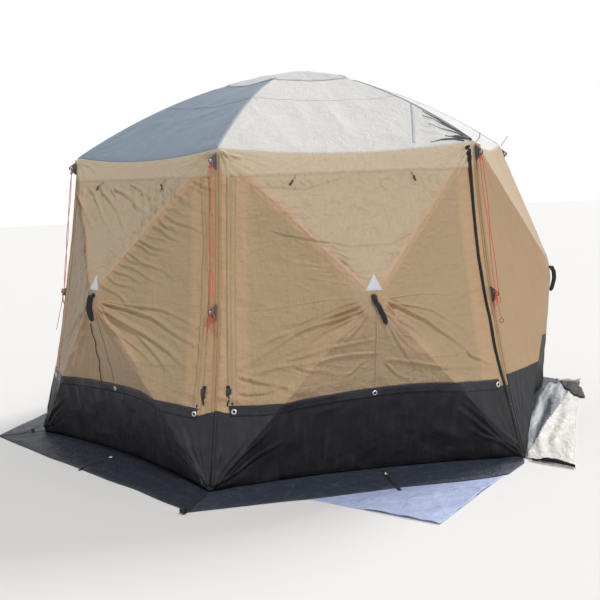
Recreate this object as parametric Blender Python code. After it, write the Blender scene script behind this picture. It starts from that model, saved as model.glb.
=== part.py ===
"""A six-sided pop-up gazebo tent: a fibreglass hub frame inside sewn walls and an arched roof.

Metres, +Z up. The origin is on the ground under the roof hub, and the front wall faces -Y.
Corners are numbered from the front left one. Each wall has the number of the corner at its left,
seen from outside: wall 1 is the front, wall 2 stands to its right and wall 6 to its left.
Left and right in a name are as seen from outside that wall.
"""

from math import atan2, cos, hypot, pi, sin, tan

import bmesh
import bpy
from mathutils import Matrix, Vector

# The tent's outline
SIDES = 6
BASE_RADIUS = 1.750
EAVE_RADIUS = 1.431
EAVE_HEIGHT = 1.748
PEAK_HEIGHT = 2.255
ROOF_ARCH = 0.085
EAVE_SAG = 0.045
CORNER_DRAW = 0.050
BASE_DRAW = 0.090
HUB_HEIGHT = 0.965
HUB_REACH = 0.240
SKIRT_HEIGHT = 0.400
FLAP_WIDTH = 0.265
FLAP_FOLD = 0.045
CROWN_RADIUS = 0.070

# Cloth and clearances
CLOTH_THICK = 0.003
SHEET_THICK = 0.001
SEAM_GAP = 0.0003
OVERRUN = 0.004
WELD = 0.000004

# Poles, their eyes and the pins that they turn on
POLE_RADIUS = 0.0055
NECK_RADIUS = 0.0042
NECK_LENGTH = 0.014
SHOULDER = 0.002
TIP_RADIUS = 0.004
TIP_LENGTH = 0.003
PIN_RADIUS = 0.003
PIN_PLAY = 0.0004
EYE_RADIUS = 0.0072
EYE_WIDTH = 0.009
EYE_PLAY = 0.0005

# Eave joints and foot joints
FRAME_INSET = 0.0215
EAVE_JOINT_DROP = 0.032
FOOT_JOINT_RISE = 0.038
PIN_SETBACK = 0.036
ARM_OVERLAP = 0.002
EAR_RADIUS = 0.008
EAR_THICK = 0.0035
POST_RADIUS = 0.0125
POST_HALF = 0.012
PAD_RADIUS = 0.018
PAD_THICK = 0.006
PAD_SHIFT = 0.010

# Forks that carry the outer ends of the roof poles
FORK_REACH = 0.050
FORK_PLAY = 0.0003
FORK_FLOOR_DROP = 0.018
FORK_EAR_RISE = 0.005
FORK_BASE = 0.006
ROOF_TIP_SETBACK = 0.022
ROOF_TIP_RISE = 0.028
ROOF_POLE_ARCH = 0.080

# Wall hubs
HUB_RADIUS = 0.060
HUB_PLATE = 0.003
POCKET_HEIGHT = 0.028
POCKET_PLAY = 0.0003
POCKET_ROOT = 0.011
TIP_STANDOFF = 0.044
HUB_CHAMFER = 0.003
BOSS_RADIUS = 0.009
BOSS_RISE = 0.006
CLOTH_HOLE_RADIUS = 0.0125

# Pull straps on the wall hubs
STRAP_WIDTH = 0.025
STRAP_THICK = 0.003
STRAP_LENGTH = 0.130
STRAP_LOOP = 0.024

# Roof hub
ROOF_HUB_RADIUS = 0.060
ROOF_HUB_THICK = 0.026
ROOF_PIN_RADIUS = 0.046
ROOF_NECK_LENGTH = 0.024

# Guy tabs at the corners, with their eyelets
TAB_REACH = 0.055
TAB_HALF_HEIGHT = 0.048
TAB_THICK = 0.002
TAB_ROOT = 0.003
TAB_EYE_INSET = 0.016
TAB_EYE_RADIUS = 0.0045
TAB_LOW_HEIGHT = 0.900
TAB_HIGH_DROP = 0.066
TAB_LEANS = {6: pi / 6}

# The sheet spread on the ground under the front of the tent
SHEET_WIDTH = 1.83
SHEET_LENGTH = 2.44
SHEET_PEEK = 0.510
SHEET_ASIDE = 0.076
SHEET_TURN = 0.761

# Guy ropes, each one cord through the upper eyelet with both ends down at the lower one
ROPE_RADIUS = 0.002
ROPE_STEP = 0.170
ROPE_TURN = 0.40
ROPE_ROUTES = {
    1: [
        (-0.8026, -1.3470, 0.9061),
        (-0.7992, -1.3526, 0.9072),
        (-0.7959, -1.3572, 0.9111),
        (-0.7935, -1.3591, 0.9183),
        (-0.7920, -1.3583, 0.9292),
        (-0.7853, -1.3401, 1.0916),
        (-0.7695, -1.3161, 1.2597),
        (-0.7650, -1.2971, 1.4447),
        (-0.7501, -1.2695, 1.6550),
        (-0.7494, -1.2684, 1.6720),
        (-0.7504, -1.2656, 1.6801),
        (-0.7536, -1.2597, 1.6826),
        (-0.7570, -1.2542, 1.6795),
        (-0.7586, -1.2524, 1.6713),
        (-0.7593, -1.2536, 1.6543),
        (-0.7676, -1.2719, 1.4713),
        (-0.7880, -1.2981, 1.2757),
        (-0.7934, -1.3153, 1.0848),
        (-0.8063, -1.3346, 0.9248),
        (-0.8116, -1.3427, 0.8757),
        (-0.8182, -1.3494, 0.8367),
        (-0.8271, -1.3546, 0.8028),
        (-0.8343, -1.3572, 0.7734),
    ],
    2: [
        (0.7860, -1.3626, 0.9069),
        (0.7917, -1.3592, 0.9074),
        (0.7966, -1.3557, 0.9108),
        (0.7990, -1.3529, 0.9177),
        (0.7989, -1.3507, 0.9285),
        (0.7882, -1.3363, 1.0911),
        (0.7721, -1.3127, 1.2593),
        (0.7618, -1.2994, 1.4446),
        (0.7441, -1.2745, 1.6551),
        (0.7435, -1.2734, 1.6720),
        (0.7409, -1.2741, 1.6802),
        (0.7351, -1.2772, 1.6830),
        (0.7295, -1.2807, 1.6802),
        (0.7276, -1.2826, 1.6720),
        (0.7282, -1.2837, 1.6551),
        (0.7379, -1.3006, 1.4722),
        (0.7549, -1.3302, 1.2771),
        (0.7631, -1.3445, 1.0863),
        (0.7748, -1.3650, 0.9266),
        (0.7797, -1.3735, 0.8775),
        (0.7840, -1.3848, 0.8390),
        (0.7881, -1.3941, 0.8053),
        (0.7932, -1.4028, 0.7715),
    ],
    6: [
        (-1.5730, 0.0006, 0.9069),
        (-1.5730, -0.0060, 0.9074),
        (-1.5723, -0.0120, 0.9108),
        (-1.5711, -0.0155, 0.9177),
        (-1.5692, -0.0165, 0.9285),
        (-1.5514, -0.0145, 1.0911),
        (-1.5229, -0.0123, 1.2593),
        (-1.5062, -0.0100, 1.4446),
        (-1.4758, -0.0072, 1.6551),
        (-1.4745, -0.0072, 1.6720),
        (-1.4739, -0.0046, 1.6802),
        (-1.4737, 0.0020, 1.6830),
        (-1.4739, 0.0086, 1.6802),
        (-1.4745, 0.0112, 1.6720),
        (-1.4758, 0.0112, 1.6551),
        (-1.4953, 0.0113, 1.4722),
        (-1.5295, 0.0113, 1.2771),
        (-1.5459, 0.0114, 1.0863),
        (-1.5695, 0.0115, 0.9266),
        (-1.5793, 0.0115, 0.8775),
        (-1.5948, 0.0095, 0.8193),
        (-1.6148, 0.0075, 0.7417),
        (-1.6348, 0.0085, 0.6640),
    ],
}

# Facets: cuts along each edge of a wall, round its pieces and along what bends
EAVE_CUTS = 4
SIDE_CUTS = 4
BASE_CUTS = 4
FLAP_ROWS = 2
ROOF_ROWS = 6
ARCH_CUTS = 7
POLE_SIDES = 6
ROUND_SIDES = 8
HUB_SIDES = 20
ROPE_CUTS = 1
CURVE_CUTS = 12

COLOURS = {
    "tan": ((0.50, 0.36, 0.22), 0.75, 0.0),
    "black": ((0.030, 0.030, 0.034), 0.65, 0.0),
    "silver": ((0.62, 0.65, 0.68), 0.50, 0.0),
    "lilac": ((0.55, 0.60, 0.80), 0.55, 0.0),
    "fibreglass": ((0.06, 0.06, 0.065), 0.40, 0.0),
    "plastic": ((0.035, 0.035, 0.038), 0.45, 0.0),
    "orange": ((0.75, 0.12, 0.04), 0.70, 0.0),
}

HALF_TURN = pi / SIDES
APOTHEM_SHARE = cos(HALF_TURN)
BASE_APOTHEM = BASE_RADIUS * APOTHEM_SHARE
LEAN = atan2((BASE_RADIUS - EAVE_RADIUS) * APOTHEM_SHARE, EAVE_HEIGHT)
FLAP_LEVEL = SHEET_THICK + SEAM_GAP
FLAP_TOP = FLAP_LEVEL + CLOTH_THICK
HUB_THICK = POCKET_HEIGHT + 2 * HUB_PLATE
HUB_OUT = HUB_REACH - CLOTH_THICK - SEAM_GAP - HUB_THICK / 2
HUB_UP = (HUB_HEIGHT - HUB_OUT * sin(LEAN)) / cos(LEAN)
HUB_THROW = HUB_OUT + FRAME_INSET
SLOT_WIDTH = EYE_WIDTH + 2 * EYE_PLAY
CLEVIS_WIDTH = SLOT_WIDTH + 2 * EAR_THICK
JOINT_HEIGHTS = {"upper": EAVE_HEIGHT - EAVE_JOINT_DROP, "lower": FOOT_JOINT_RISE}
ROOF_PIN_HEIGHT = PEAK_HEIGHT - CLOTH_THICK - SEAM_GAP - ROOF_HUB_THICK / 2


def corner_angle(number):
    """The bearing of a corner, the front left one being the first."""
    return -pi / 2 - HALF_TURN + 2 * HALF_TURN * (number - 1)


def wall_angle(number):
    """The bearing that a wall faces."""
    return corner_angle(number) + HALF_TURN


def arc_share(share):
    """A shallow bow: nothing at both ends and one in the middle."""
    return 4 * share * (1 - share)


def corner_radius(height):
    """The straight line from a foot to its eave corner."""
    return BASE_RADIUS + (EAVE_RADIUS - BASE_RADIUS) * height / EAVE_HEIGHT


def edge_radius(height):
    """The cloth's corner seam, which tension draws in between foot and eave."""
    return corner_radius(height) - CORNER_DRAW * arc_share(height / EAVE_HEIGHT)


def joint_radius(height):
    """Where the planes of two neighbouring frames cross inside a corner."""
    return corner_radius(height) - FRAME_INSET / (cos(LEAN) * APOTHEM_SHARE)


def bearing(angle, distance=1.0, height=0.0):
    return Vector((distance * cos(angle), distance * sin(angle), height))


def wall_frame(angle):
    """A wall's own axes: X to the right along it, Y up it and Z out of it, from its foot's middle."""
    across = bearing(angle + pi / 2)
    normal = bearing(angle, cos(LEAN), sin(LEAN))
    frame = Matrix((across, normal.cross(across), normal)).transposed().to_4x4()
    frame.translation = bearing(angle, BASE_APOTHEM)
    return frame


def pole_stance(level, side):
    """A wall pole in its wall's axes: joint, pin, lie along the wall, rise angle and length."""
    height = JOINT_HEIGHTS[level]
    reach = joint_radius(height)
    inward = reach * APOTHEM_SHARE - BASE_APOTHEM
    up = height * cos(LEAN) - inward * sin(LEAN)
    joint = Vector((side * reach * sin(HALF_TURN), up, -FRAME_INSET))
    lie = Vector((-joint.x, HUB_UP - joint.y, 0.0))
    run = lie.length - PIN_SETBACK - TIP_STANDOFF
    lie.normalize()
    return joint, joint + lie * PIN_SETBACK, lie, atan2(HUB_THROW, run), hypot(HUB_THROW, run)


def lie_frame(origin, lie, rise=0.0):
    """Axes on a pin: X along the pole, Y along the pin and Z away from the tent's middle."""
    normal = Vector((0.0, 0.0, 1.0))
    along = lie * cos(rise) + normal * sin(rise)
    pin = normal.cross(lie)
    frame = Matrix((along, pin, along.cross(pin))).transposed().to_4x4()
    frame.translation = origin
    return frame


def material(name):
    colour, roughness, metallic = COLOURS[name]
    made = bpy.data.materials.new(name)
    made.use_nodes = True
    made.diffuse_color = (*colour, 1.0)
    shader = made.node_tree.nodes["Principled BSDF"]
    shader.inputs["Base Color"].default_value = (*colour, 1.0)
    shader.inputs["Roughness"].default_value = roughness
    shader.inputs["Metallic"].default_value = metallic
    return made


def to_mesh(bm, frame=None):
    """The finished mesh of a closed shape, faces outwards."""
    if frame is not None:
        bmesh.ops.transform(bm, matrix=frame, verts=bm.verts)
    bmesh.ops.recalc_face_normals(bm, faces=bm.faces)
    mesh = bpy.data.meshes.new("shape")
    bm.to_mesh(mesh)
    bm.free()
    return mesh


def lofted(rings, frame=None):
    """A closed body through rings of as many points each, capped at both ends."""
    bm = bmesh.new()
    loops = [[bm.verts.new(point) for point in ring] for ring in rings]
    for low, high in zip(loops, loops[1:]):
        for i, vert in enumerate(low):
            after = (i + 1) % len(low)
            bm.faces.new((vert, low[after], high[after], high[i]))
    bm.faces.new(list(reversed(loops[0])))
    bm.faces.new(loops[-1])
    return to_mesh(bm, frame)


def ring_points(radius, sides, place):
    """Points round a circle, each put into space by place(first, second)."""
    step = 2 * pi / sides
    return [place(radius * cos((i + 0.5) * step), radius * sin((i + 0.5) * step)) for i in range(sides)]


def turned(profile, sides, frame=None):
    """A body turned about Z from (height, radius) pairs."""
    rings = [
        ring_points(radius, sides, lambda a, b, z=height: Vector((a, b, z)))
        for height, radius in profile
    ]
    return lofted(rings, frame)


def rod_across(radius, width, sides, frame=None):
    """A rod along Y, centred on the frame's origin."""
    rings = [
        ring_points(radius, sides, lambda a, b, y=y: Vector((b, y, a)))
        for y in (-width / 2, width / 2)
    ]
    return lofted(rings, frame)


def prism_across(outline, width, frame=None):
    """An outline in X and Z, drawn out along Y to both sides of the frame's origin."""
    rings = [[Vector((x, y, z)) for x, z in outline] for y in (-width / 2, width / 2)]
    return lofted(rings, frame)


def block(low, high, frame=None):
    """A box between two corners."""
    outline = [(low[0], low[2]), (high[0], low[2]), (high[0], high[2]), (low[0], high[2])]
    rings = [[Vector((x, y, z)) for x, z in outline] for y in (low[1], high[1])]
    return lofted(rings, frame)


def shaped(body, *steps):
    """The body after each (operation, shape) in turn: UNION adds the shape, DIFFERENCE cuts it out."""
    base = bpy.data.objects.new("body", body)
    bpy.context.collection.objects.link(base)
    helpers = []
    for operation, shape in steps:
        helper = bpy.data.objects.new("helper", shape)
        bpy.context.collection.objects.link(helper)
        cut = base.modifiers.new(operation.lower(), "BOOLEAN")
        cut.operation = operation
        cut.solver = "EXACT"
        cut.object = helper
        helpers.append(helper)
    graph = bpy.context.evaluated_depsgraph_get()
    mesh = bpy.data.meshes.new_from_object(base.evaluated_get(graph))
    for used in (base, *helpers):
        bpy.data.objects.remove(used, do_unlink=True)
    mesh.materials.clear()
    bm = bmesh.new()
    bm.from_mesh(mesh)
    bmesh.ops.remove_doubles(bm, verts=bm.verts, dist=WELD)
    bmesh.ops.dissolve_degenerate(bm, edges=bm.edges, dist=WELD)
    bm.to_mesh(mesh)
    bm.free()
    return mesh


def thick_sheet(skins, faces, frame=None):
    """Closed cloth: skins holds each point's outer and inner place, faces go round the outer skin."""
    bm = bmesh.new()
    outer = [bm.verts.new(point) for point, _ in skins]
    inner = [bm.verts.new(point) for _, point in skins]
    rim = []
    for face in faces:
        bm.faces.new([outer[i] for i in face])
        bm.faces.new([inner[i] for i in reversed(face)])
        rim += zip(face, face[1:] + face[:1])
    seen = set(rim)
    for a, b in rim:
        if (b, a) not in seen:
            bm.faces.new((outer[b], outer[a], inner[a], inner[b]))
    bmesh.ops.triangulate(bm, faces=bm.faces)
    return to_mesh(bm, frame)


def placed(name, mesh, materials, parent=None, frame=None):
    """One named piece, with its origin where its frame says."""
    obj = bpy.data.objects.new(name, mesh)
    bpy.context.collection.objects.link(obj)
    if not mesh.materials:
        for made in materials:
            mesh.materials.append(made)
        mesh.shade_smooth()
        mesh.set_sharp_from_angle(angle=pi / 6)
    obj.parent = parent
    if frame is not None:
        obj.location = frame.to_translation()
        obj.rotation_euler = frame.to_euler()
    return obj


def empty(name, frame):
    """A helper that carries the pieces of one wall or corner."""
    made = bpy.data.objects.new(name, None)
    made.location = frame.to_translation()
    made.rotation_euler = frame.to_euler()
    bpy.context.collection.objects.link(made)
    return made


def pole_end(mesh):
    """The pole with its eye, drilled for the pin."""
    drill = rod_across(PIN_RADIUS + PIN_PLAY, EYE_WIDTH + 2 * OVERRUN, ROUND_SIDES)
    return shaped(mesh, ("UNION", rod_across(EYE_RADIUS, EYE_WIDTH, ROUND_SIDES)), ("DIFFERENCE", drill))


def pole_profile(length, neck):
    """A pole's (distance, radius) pairs from its eye to its rounded tip."""
    return [
        (0.0, NECK_RADIUS),
        (neck, NECK_RADIUS),
        (neck + SHOULDER, POLE_RADIUS),
        (length - TIP_LENGTH, POLE_RADIUS),
        (length, TIP_RADIUS),
    ]


def wall_pole_mesh(length):
    """A straight wall pole along X, its eye on the origin."""
    rings = [
        ring_points(radius, POLE_SIDES, lambda a, b, x=x: Vector((x, b, a)))
        for x, radius in pole_profile(length, NECK_LENGTH)
    ]
    return pole_end(lofted(rings))


def roof_pole_line():
    """The roof pole's span, fall, slope and chord, from the roof hub's pin to its tip in the fork."""
    height = JOINT_HEIGHTS["upper"]
    run = joint_radius(height) - ROOF_TIP_SETBACK - ROOF_PIN_RADIUS
    fall = ROOF_PIN_HEIGHT - (height + ROOF_TIP_RISE)
    return run, fall, atan2(fall, run), hypot(run, fall)


def roof_pole_mesh():
    """A roof pole bent to its arch, its chord along X and its eye on the origin."""
    length = roof_pole_line()[-1]
    profile = pole_profile(length, ROOF_NECK_LENGTH)
    start = profile[2][0]
    end = profile[3][0]
    step = (end - start) / ARCH_CUTS
    middle = [(start + step * i, POLE_RADIUS) for i in range(1, ARCH_CUTS)]
    rings = []
    for x, radius in profile[:3] + middle + profile[3:]:
        rise = ROOF_POLE_ARCH * arc_share(x / length)
        slope = ROOF_POLE_ARCH * 4 * (1 - 2 * x / length) / length
        tilt = Matrix.Rotation(-atan2(slope, 1.0), 3, "Y")
        centre = Vector((x, 0.0, rise))
        rings.append(ring_points(radius, POLE_SIDES, lambda a, b: centre + tilt @ Vector((0.0, b, a))))
    return pole_end(lofted(rings))


def clevis(level, side):
    """One clevis of a corner joint on the +X side: a slotted arm with a rounded end and its pin."""
    _, pin, lie, _, _ = pole_stance(level, side)
    steps = ROUND_SIDES // 2
    arc = [-pi / 2 + pi * i / steps for i in range(steps + 1)]
    outline = [(EAR_RADIUS * cos(a), EAR_RADIUS * sin(a)) for a in arc]
    back = -PIN_SETBACK - ARM_OVERLAP
    outline += [(back, EAR_RADIUS), (back, -EAR_RADIUS)]
    deep = EAR_RADIUS + OVERRUN
    wide = SLOT_WIDTH / 2
    slot = block((-EYE_RADIUS - 2 * EYE_PLAY, -wide, -deep), (deep, wide, deep))
    rod = rod_across(PIN_RADIUS, CLEVIS_WIDTH - 2 * EYE_PLAY, ROUND_SIDES)
    mesh = shaped(prism_across(outline, CLEVIS_WIDTH), ("DIFFERENCE", slot), ("UNION", rod))
    mesh.transform(wall_frame(-side * HALF_TURN) @ lie_frame(pin, lie))
    return mesh


def eave_joint_mesh():
    """The joint under an eave corner, on +X: a post, two clevises and the roof pole's open fork."""
    height = JOINT_HEIGHTS["upper"]
    radius = joint_radius(height)
    centre = Matrix.Translation((radius, 0.0, height))
    post = turned([(-POST_HALF * 2, POST_RADIUS), (POST_HALF, POST_RADIUS)], ROUND_SIDES, centre)
    half = POLE_RADIUS + FORK_PLAY
    floor = ROOF_TIP_RISE - FORK_FLOOR_DROP
    ear = ROOF_TIP_RISE + FORK_EAR_RISE
    fork = block(
        (-FORK_REACH, -half - EAR_THICK, floor - FORK_BASE * 2),
        (-FORK_BASE, half + EAR_THICK, ear),
        centre,
    )
    channel = block(
        (-FORK_REACH - OVERRUN, -half, floor),
        (POST_RADIUS + OVERRUN, half, ear + OVERRUN),
        centre,
    )
    sides = [("UNION", clevis("upper", side)) for side in (-1, 1)]
    return shaped(post, *sides, ("UNION", fork), ("DIFFERENCE", channel))


def foot_joint_mesh():
    """The joint in a bottom corner, on +X: a post on a round pad, and two clevises."""
    height = JOINT_HEIGHTS["lower"]
    radius = joint_radius(height)
    centre = Matrix.Translation((radius, 0.0, 0.0))
    post_profile = [(FLAP_LEVEL + PAD_THICK / 2, POST_RADIUS), (height + POST_HALF, POST_RADIUS)]
    post = turned(post_profile, ROUND_SIDES, centre)
    pad_profile = [
        (FLAP_LEVEL, PAD_RADIUS),
        (FLAP_LEVEL + PAD_THICK / 2, PAD_RADIUS),
        (FLAP_LEVEL + PAD_THICK, POST_RADIUS),
    ]
    pad = turned(pad_profile, ROUND_SIDES, Matrix.Translation((radius - PAD_SHIFT, 0.0, 0.0)))
    return shaped(pad, ("UNION", post), *[("UNION", clevis("lower", side)) for side in (-1, 1)])


def strap_outline():
    """The pull strap's side view in (along the wall, out of it): out of the boss, over and down."""
    start = HUB_THICK / 2 + CLOTH_THICK + BOSS_RISE / 2
    top = start + STRAP_LOOP
    bend = STRAP_LOOP / 2
    line = [Vector((0.0, start)), Vector((0.0, top - bend))]
    steps = ROUND_SIDES // 2
    for i in range(1, steps + 1):
        turn = (pi / 2 + LEAN) * i / steps
        line.append(Vector((-bend + bend * cos(turn), top - bend + bend * sin(turn))))
    line.append(line[-1] + Vector((-cos(LEAN), -sin(LEAN))) * STRAP_LENGTH)
    sides = ([], [])
    for i, point in enumerate(line):
        before = line[max(i - 1, 0)]
        after = line[min(i + 1, len(line) - 1)]
        along = (after - before).normalized()
        normal = Vector((-along.y, along.x)) * STRAP_THICK / 2
        sides[0].append(point + normal)
        sides[1].append(point - normal)
    return sides[0] + sides[1][::-1]


def disc_profile(radius, half):
    """A disc's (height, radius) pairs, its rims chamfered."""
    rim = radius - HUB_CHAMFER
    return [(-half, rim), (HUB_CHAMFER - half, radius), (half - HUB_CHAMFER, radius), (half, rim)]


def wall_hub_mesh():
    """A wall hub, Z out of the wall: four pockets for the pole tips, a boss and its pull strap."""
    half = HUB_THICK / 2
    profile = disc_profile(HUB_RADIUS, half)
    boss = turned([(0.0, BOSS_RADIUS), (half + CLOTH_THICK + BOSS_RISE, BOSS_RADIUS)], ROUND_SIDES)
    steps = [("UNION", boss)]
    width = POLE_RADIUS + POCKET_PLAY
    deep = POCKET_HEIGHT / 2
    for level in ("upper", "lower"):
        for side in (-1, 1):
            lie = pole_stance(level, side)[2]
            mouth = (HUB_RADIUS + OVERRUN, width, deep)
            pocket = block((POCKET_ROOT, -width, -deep), mouth, lie_frame(Vector(), -lie))
            steps.append(("DIFFERENCE", pocket))
    upright = Matrix.Rotation(pi / 2, 4, "Z")
    strap = prism_across([(y, z) for y, z in strap_outline()], STRAP_WIDTH, upright)
    steps.append(("UNION", strap))
    return shaped(turned(profile, HUB_SIDES), *steps)


def roof_hub_mesh():
    """The roof hub: a disc with a slot and a pin for each roof pole."""
    half = ROOF_HUB_THICK / 2
    profile = disc_profile(ROOF_HUB_RADIUS, half)
    turns = [Matrix.Rotation(corner_angle(n), 4, "Z") for n in range(1, SIDES + 1)]
    root = ROOF_PIN_RADIUS - EYE_RADIUS - 2 * EYE_PLAY
    high = half + OVERRUN
    wide = SLOT_WIDTH / 2
    mouth = (ROOF_HUB_RADIUS + OVERRUN, wide, high)
    steps = [("DIFFERENCE", block((root, -wide, -high), mouth, turn)) for turn in turns]
    seat = Matrix.Translation((ROOF_PIN_RADIUS, 0.0, 0.0))
    steps += [("UNION", rod_across(PIN_RADIUS, CLEVIS_WIDTH, ROUND_SIDES, turn @ seat)) for turn in turns]
    return shaped(turned(profile, HUB_SIDES), *steps)


def eave_point(angle, share):
    """A point on the sagging eave seam of the wall that faces this way, from its left corner."""
    half = EAVE_RADIUS * sin(HALF_TURN)
    point = bearing(angle, EAVE_RADIUS * APOTHEM_SHARE) + bearing(angle + pi / 2, half * (2 * share - 1))
    point.z = EAVE_HEIGHT - EAVE_SAG * arc_share(share)
    return point


def inward_at(angle, share):
    """From outer to inner cloth at an edge: square to the wall, or along the corner's own plane."""
    if share <= 0:
        return -bearing(angle - HALF_TURN) * CLOTH_THICK / APOTHEM_SHARE
    if share >= 1:
        return -bearing(angle + HALF_TURN) * CLOTH_THICK / APOTHEM_SHARE
    return -bearing(angle) * CLOTH_THICK


def wall_rim(angle):
    """Outer and inner points round a wall, from its top left corner by the right side and foot."""
    across = bearing(angle + pi / 2)
    drop = Vector((0.0, 0.0, CLOTH_THICK))
    rim = []

    def add(point, inward, side):
        shift = across * (-side * SEAM_GAP / 2)
        rim.append((point + shift, point + shift + inward))

    def side_points(side, heights):
        corner = angle + side * HALF_TURN
        for height in heights:
            add(bearing(corner, edge_radius(height), height), inward_at(angle, (1 + side) / 2), side)

    seam = Vector((0.0, 0.0, SEAM_GAP))
    for i in range(EAVE_CUTS + 1):
        share = i / EAVE_CUTS
        side = (i == EAVE_CUTS) - (i == 0)
        add(eave_point(angle, share) - seam, inward_at(angle, share), side)
    heights = [EAVE_HEIGHT + (FLAP_TOP - EAVE_HEIGHT) * i / SIDE_CUTS for i in range(1, SIDE_CUTS)]
    side_points(1, heights)
    for i in range(BASE_CUTS + 1):
        share = 1 - i / BASE_CUTS
        half = BASE_RADIUS * sin(HALF_TURN) * (2 * share - 1)
        out = BASE_APOTHEM - BASE_DRAW * arc_share(share)
        point = bearing(angle, out, FLAP_TOP) + across * half
        add(point, inward_at(angle, share) - drop, (i == 0) - (i == BASE_CUTS))
    side_points(-1, heights[::-1])
    return rim


def wall_mesh(number):
    """One wall: its cloth from eave to ground, drawn out over the hub, and the mud flap outside it."""
    angle = wall_angle(number)
    frame = wall_frame(angle)
    back = frame.inverted()
    skins = wall_rim(angle)
    count = len(skins)
    inward = frame.to_3x3() @ Vector((0.0, 0.0, -CLOTH_THICK))
    for radius in (CROWN_RADIUS, CLOTH_HOLE_RADIUS):
        for point, _ in skins[:count]:
            lie = back @ point
            lie.y -= HUB_UP
            lie.z = 0.0
            spot = frame @ (Vector((0.0, HUB_UP, HUB_REACH)) + lie.normalized() * radius)
            skins.append((spot, spot + inward))
    faces = []
    for ring in (0, count):
        for i in range(count):
            after = (i + 1) % count
            faces.append([ring + i, ring + after, ring + count + after, ring + count + i])
    foot = EAVE_CUTS + SIDE_CUTS
    edge = list(range(foot, foot + BASE_CUTS + 1))
    far = BASE_APOTHEM + FLAP_WIDTH
    fold = FLAP_FOLD if number == 2 else 0.0
    thick = Vector((0.0, 0.0, CLOTH_THICK))
    for row in range(1, FLAP_ROWS + 1):
        share = row / FLAP_ROWS
        new = []
        for i, start in enumerate(edge):
            across = 1 - 2 * i / BASE_CUTS
            outer = bearing(angle, far, FLAP_TOP) + bearing(angle + pi / 2, far * tan(HALF_TURN) * across)
            side = (i == 0) - (i == BASE_CUTS)
            outer -= bearing(angle + pi / 2) * (side * SEAM_GAP / 2)
            first = skins[foot + i][0]
            point = first.lerp(outer, share)
            point.z += fold * arc_share(share * FLAP_ROWS / (FLAP_ROWS + 1)) * arc_share(i / BASE_CUTS)
            new.append(len(skins))
            skins.append((point, point - thick))
        for i in range(BASE_CUTS):
            faces.append([edge[i + 1], edge[i], new[i], new[i + 1]])
        edge = new
    mesh = thick_sheet(skins, faces)
    tabs = [("UNION", tab_shape(number, height)) for height in tab_heights()]
    mesh = shaped(mesh, *tabs)
    return two_tone(mesh)


def tab_heights():
    """The heights of a corner's two guy tabs."""
    return EAVE_HEIGHT - TAB_HIGH_DROP, TAB_LOW_HEIGHT


def tab_frame(number, height):
    """Axes of a guy tab on a wall's right corner: X out along it, Z up the seam and Y through it."""
    corner = wall_angle(number) + HALF_TURN
    lean = TAB_LEANS.get(number, 0.0)
    ends = (height - TAB_HALF_HEIGHT, height + TAB_HALF_HEIGHT)
    low, high = (bearing(corner, edge_radius(z), z) for z in ends)
    seam = (high - low).normalized()
    through = bearing(corner + pi / 2)
    frame = Matrix((through.cross(seam), through, seam)).transposed().to_4x4()
    frame = frame @ Matrix.Rotation(-lean, 4, "Z")
    aside = bearing(wall_angle(number) + pi / 2) * (SEAM_GAP + TAB_THICK + TAB_ROOT * sin(lean))
    frame.translation = bearing(corner, edge_radius(height), height) - aside
    return frame


def tab_shape(number, height):
    """A triangular tab sewn into the corner seam, with an eyelet near its tip."""
    outline = [
        (-TAB_ROOT, -TAB_HALF_HEIGHT),
        (TAB_REACH, -TAB_EYE_RADIUS),
        (TAB_REACH, TAB_EYE_RADIUS),
        (-TAB_ROOT, TAB_HALF_HEIGHT),
    ]
    frame = tab_frame(number, height)
    hole = Matrix.Translation((TAB_REACH - TAB_EYE_INSET, 0.0, 0.0))
    eyelet = rod_across(TAB_EYE_RADIUS, TAB_THICK + 2 * OVERRUN, ROUND_SIDES, hole)
    mesh = shaped(prism_across(outline, TAB_THICK), ("DIFFERENCE", eyelet))
    mesh.transform(frame)
    return mesh


def two_tone(mesh):
    """The same wall with an edge where the dark skirt begins, and the skirt's faces in slot two."""
    bm = bmesh.new()
    bm.from_mesh(mesh)
    geometry = bm.verts[:] + bm.edges[:] + bm.faces[:]
    bmesh.ops.bisect_plane(
        bm, geom=geometry, plane_co=(0.0, 0.0, SKIRT_HEIGHT), plane_no=(0.0, 0.0, 1.0), dist=SEAM_GAP
    )
    for face in bm.faces:
        face.material_index = int(face.calc_center_median().z < SKIRT_HEIGHT)
    bm.to_mesh(mesh)
    bm.free()
    return mesh


def roof_ridge(share):
    """Radius and height of the roof's ridges, from the eave corner at 0 to the crown at 1."""
    radius = EAVE_RADIUS + (CROWN_RADIUS - EAVE_RADIUS) * share
    return radius, EAVE_HEIGHT + (PEAK_HEIGHT - EAVE_HEIGHT) * share + ROOF_ARCH * arc_share(share)


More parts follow.
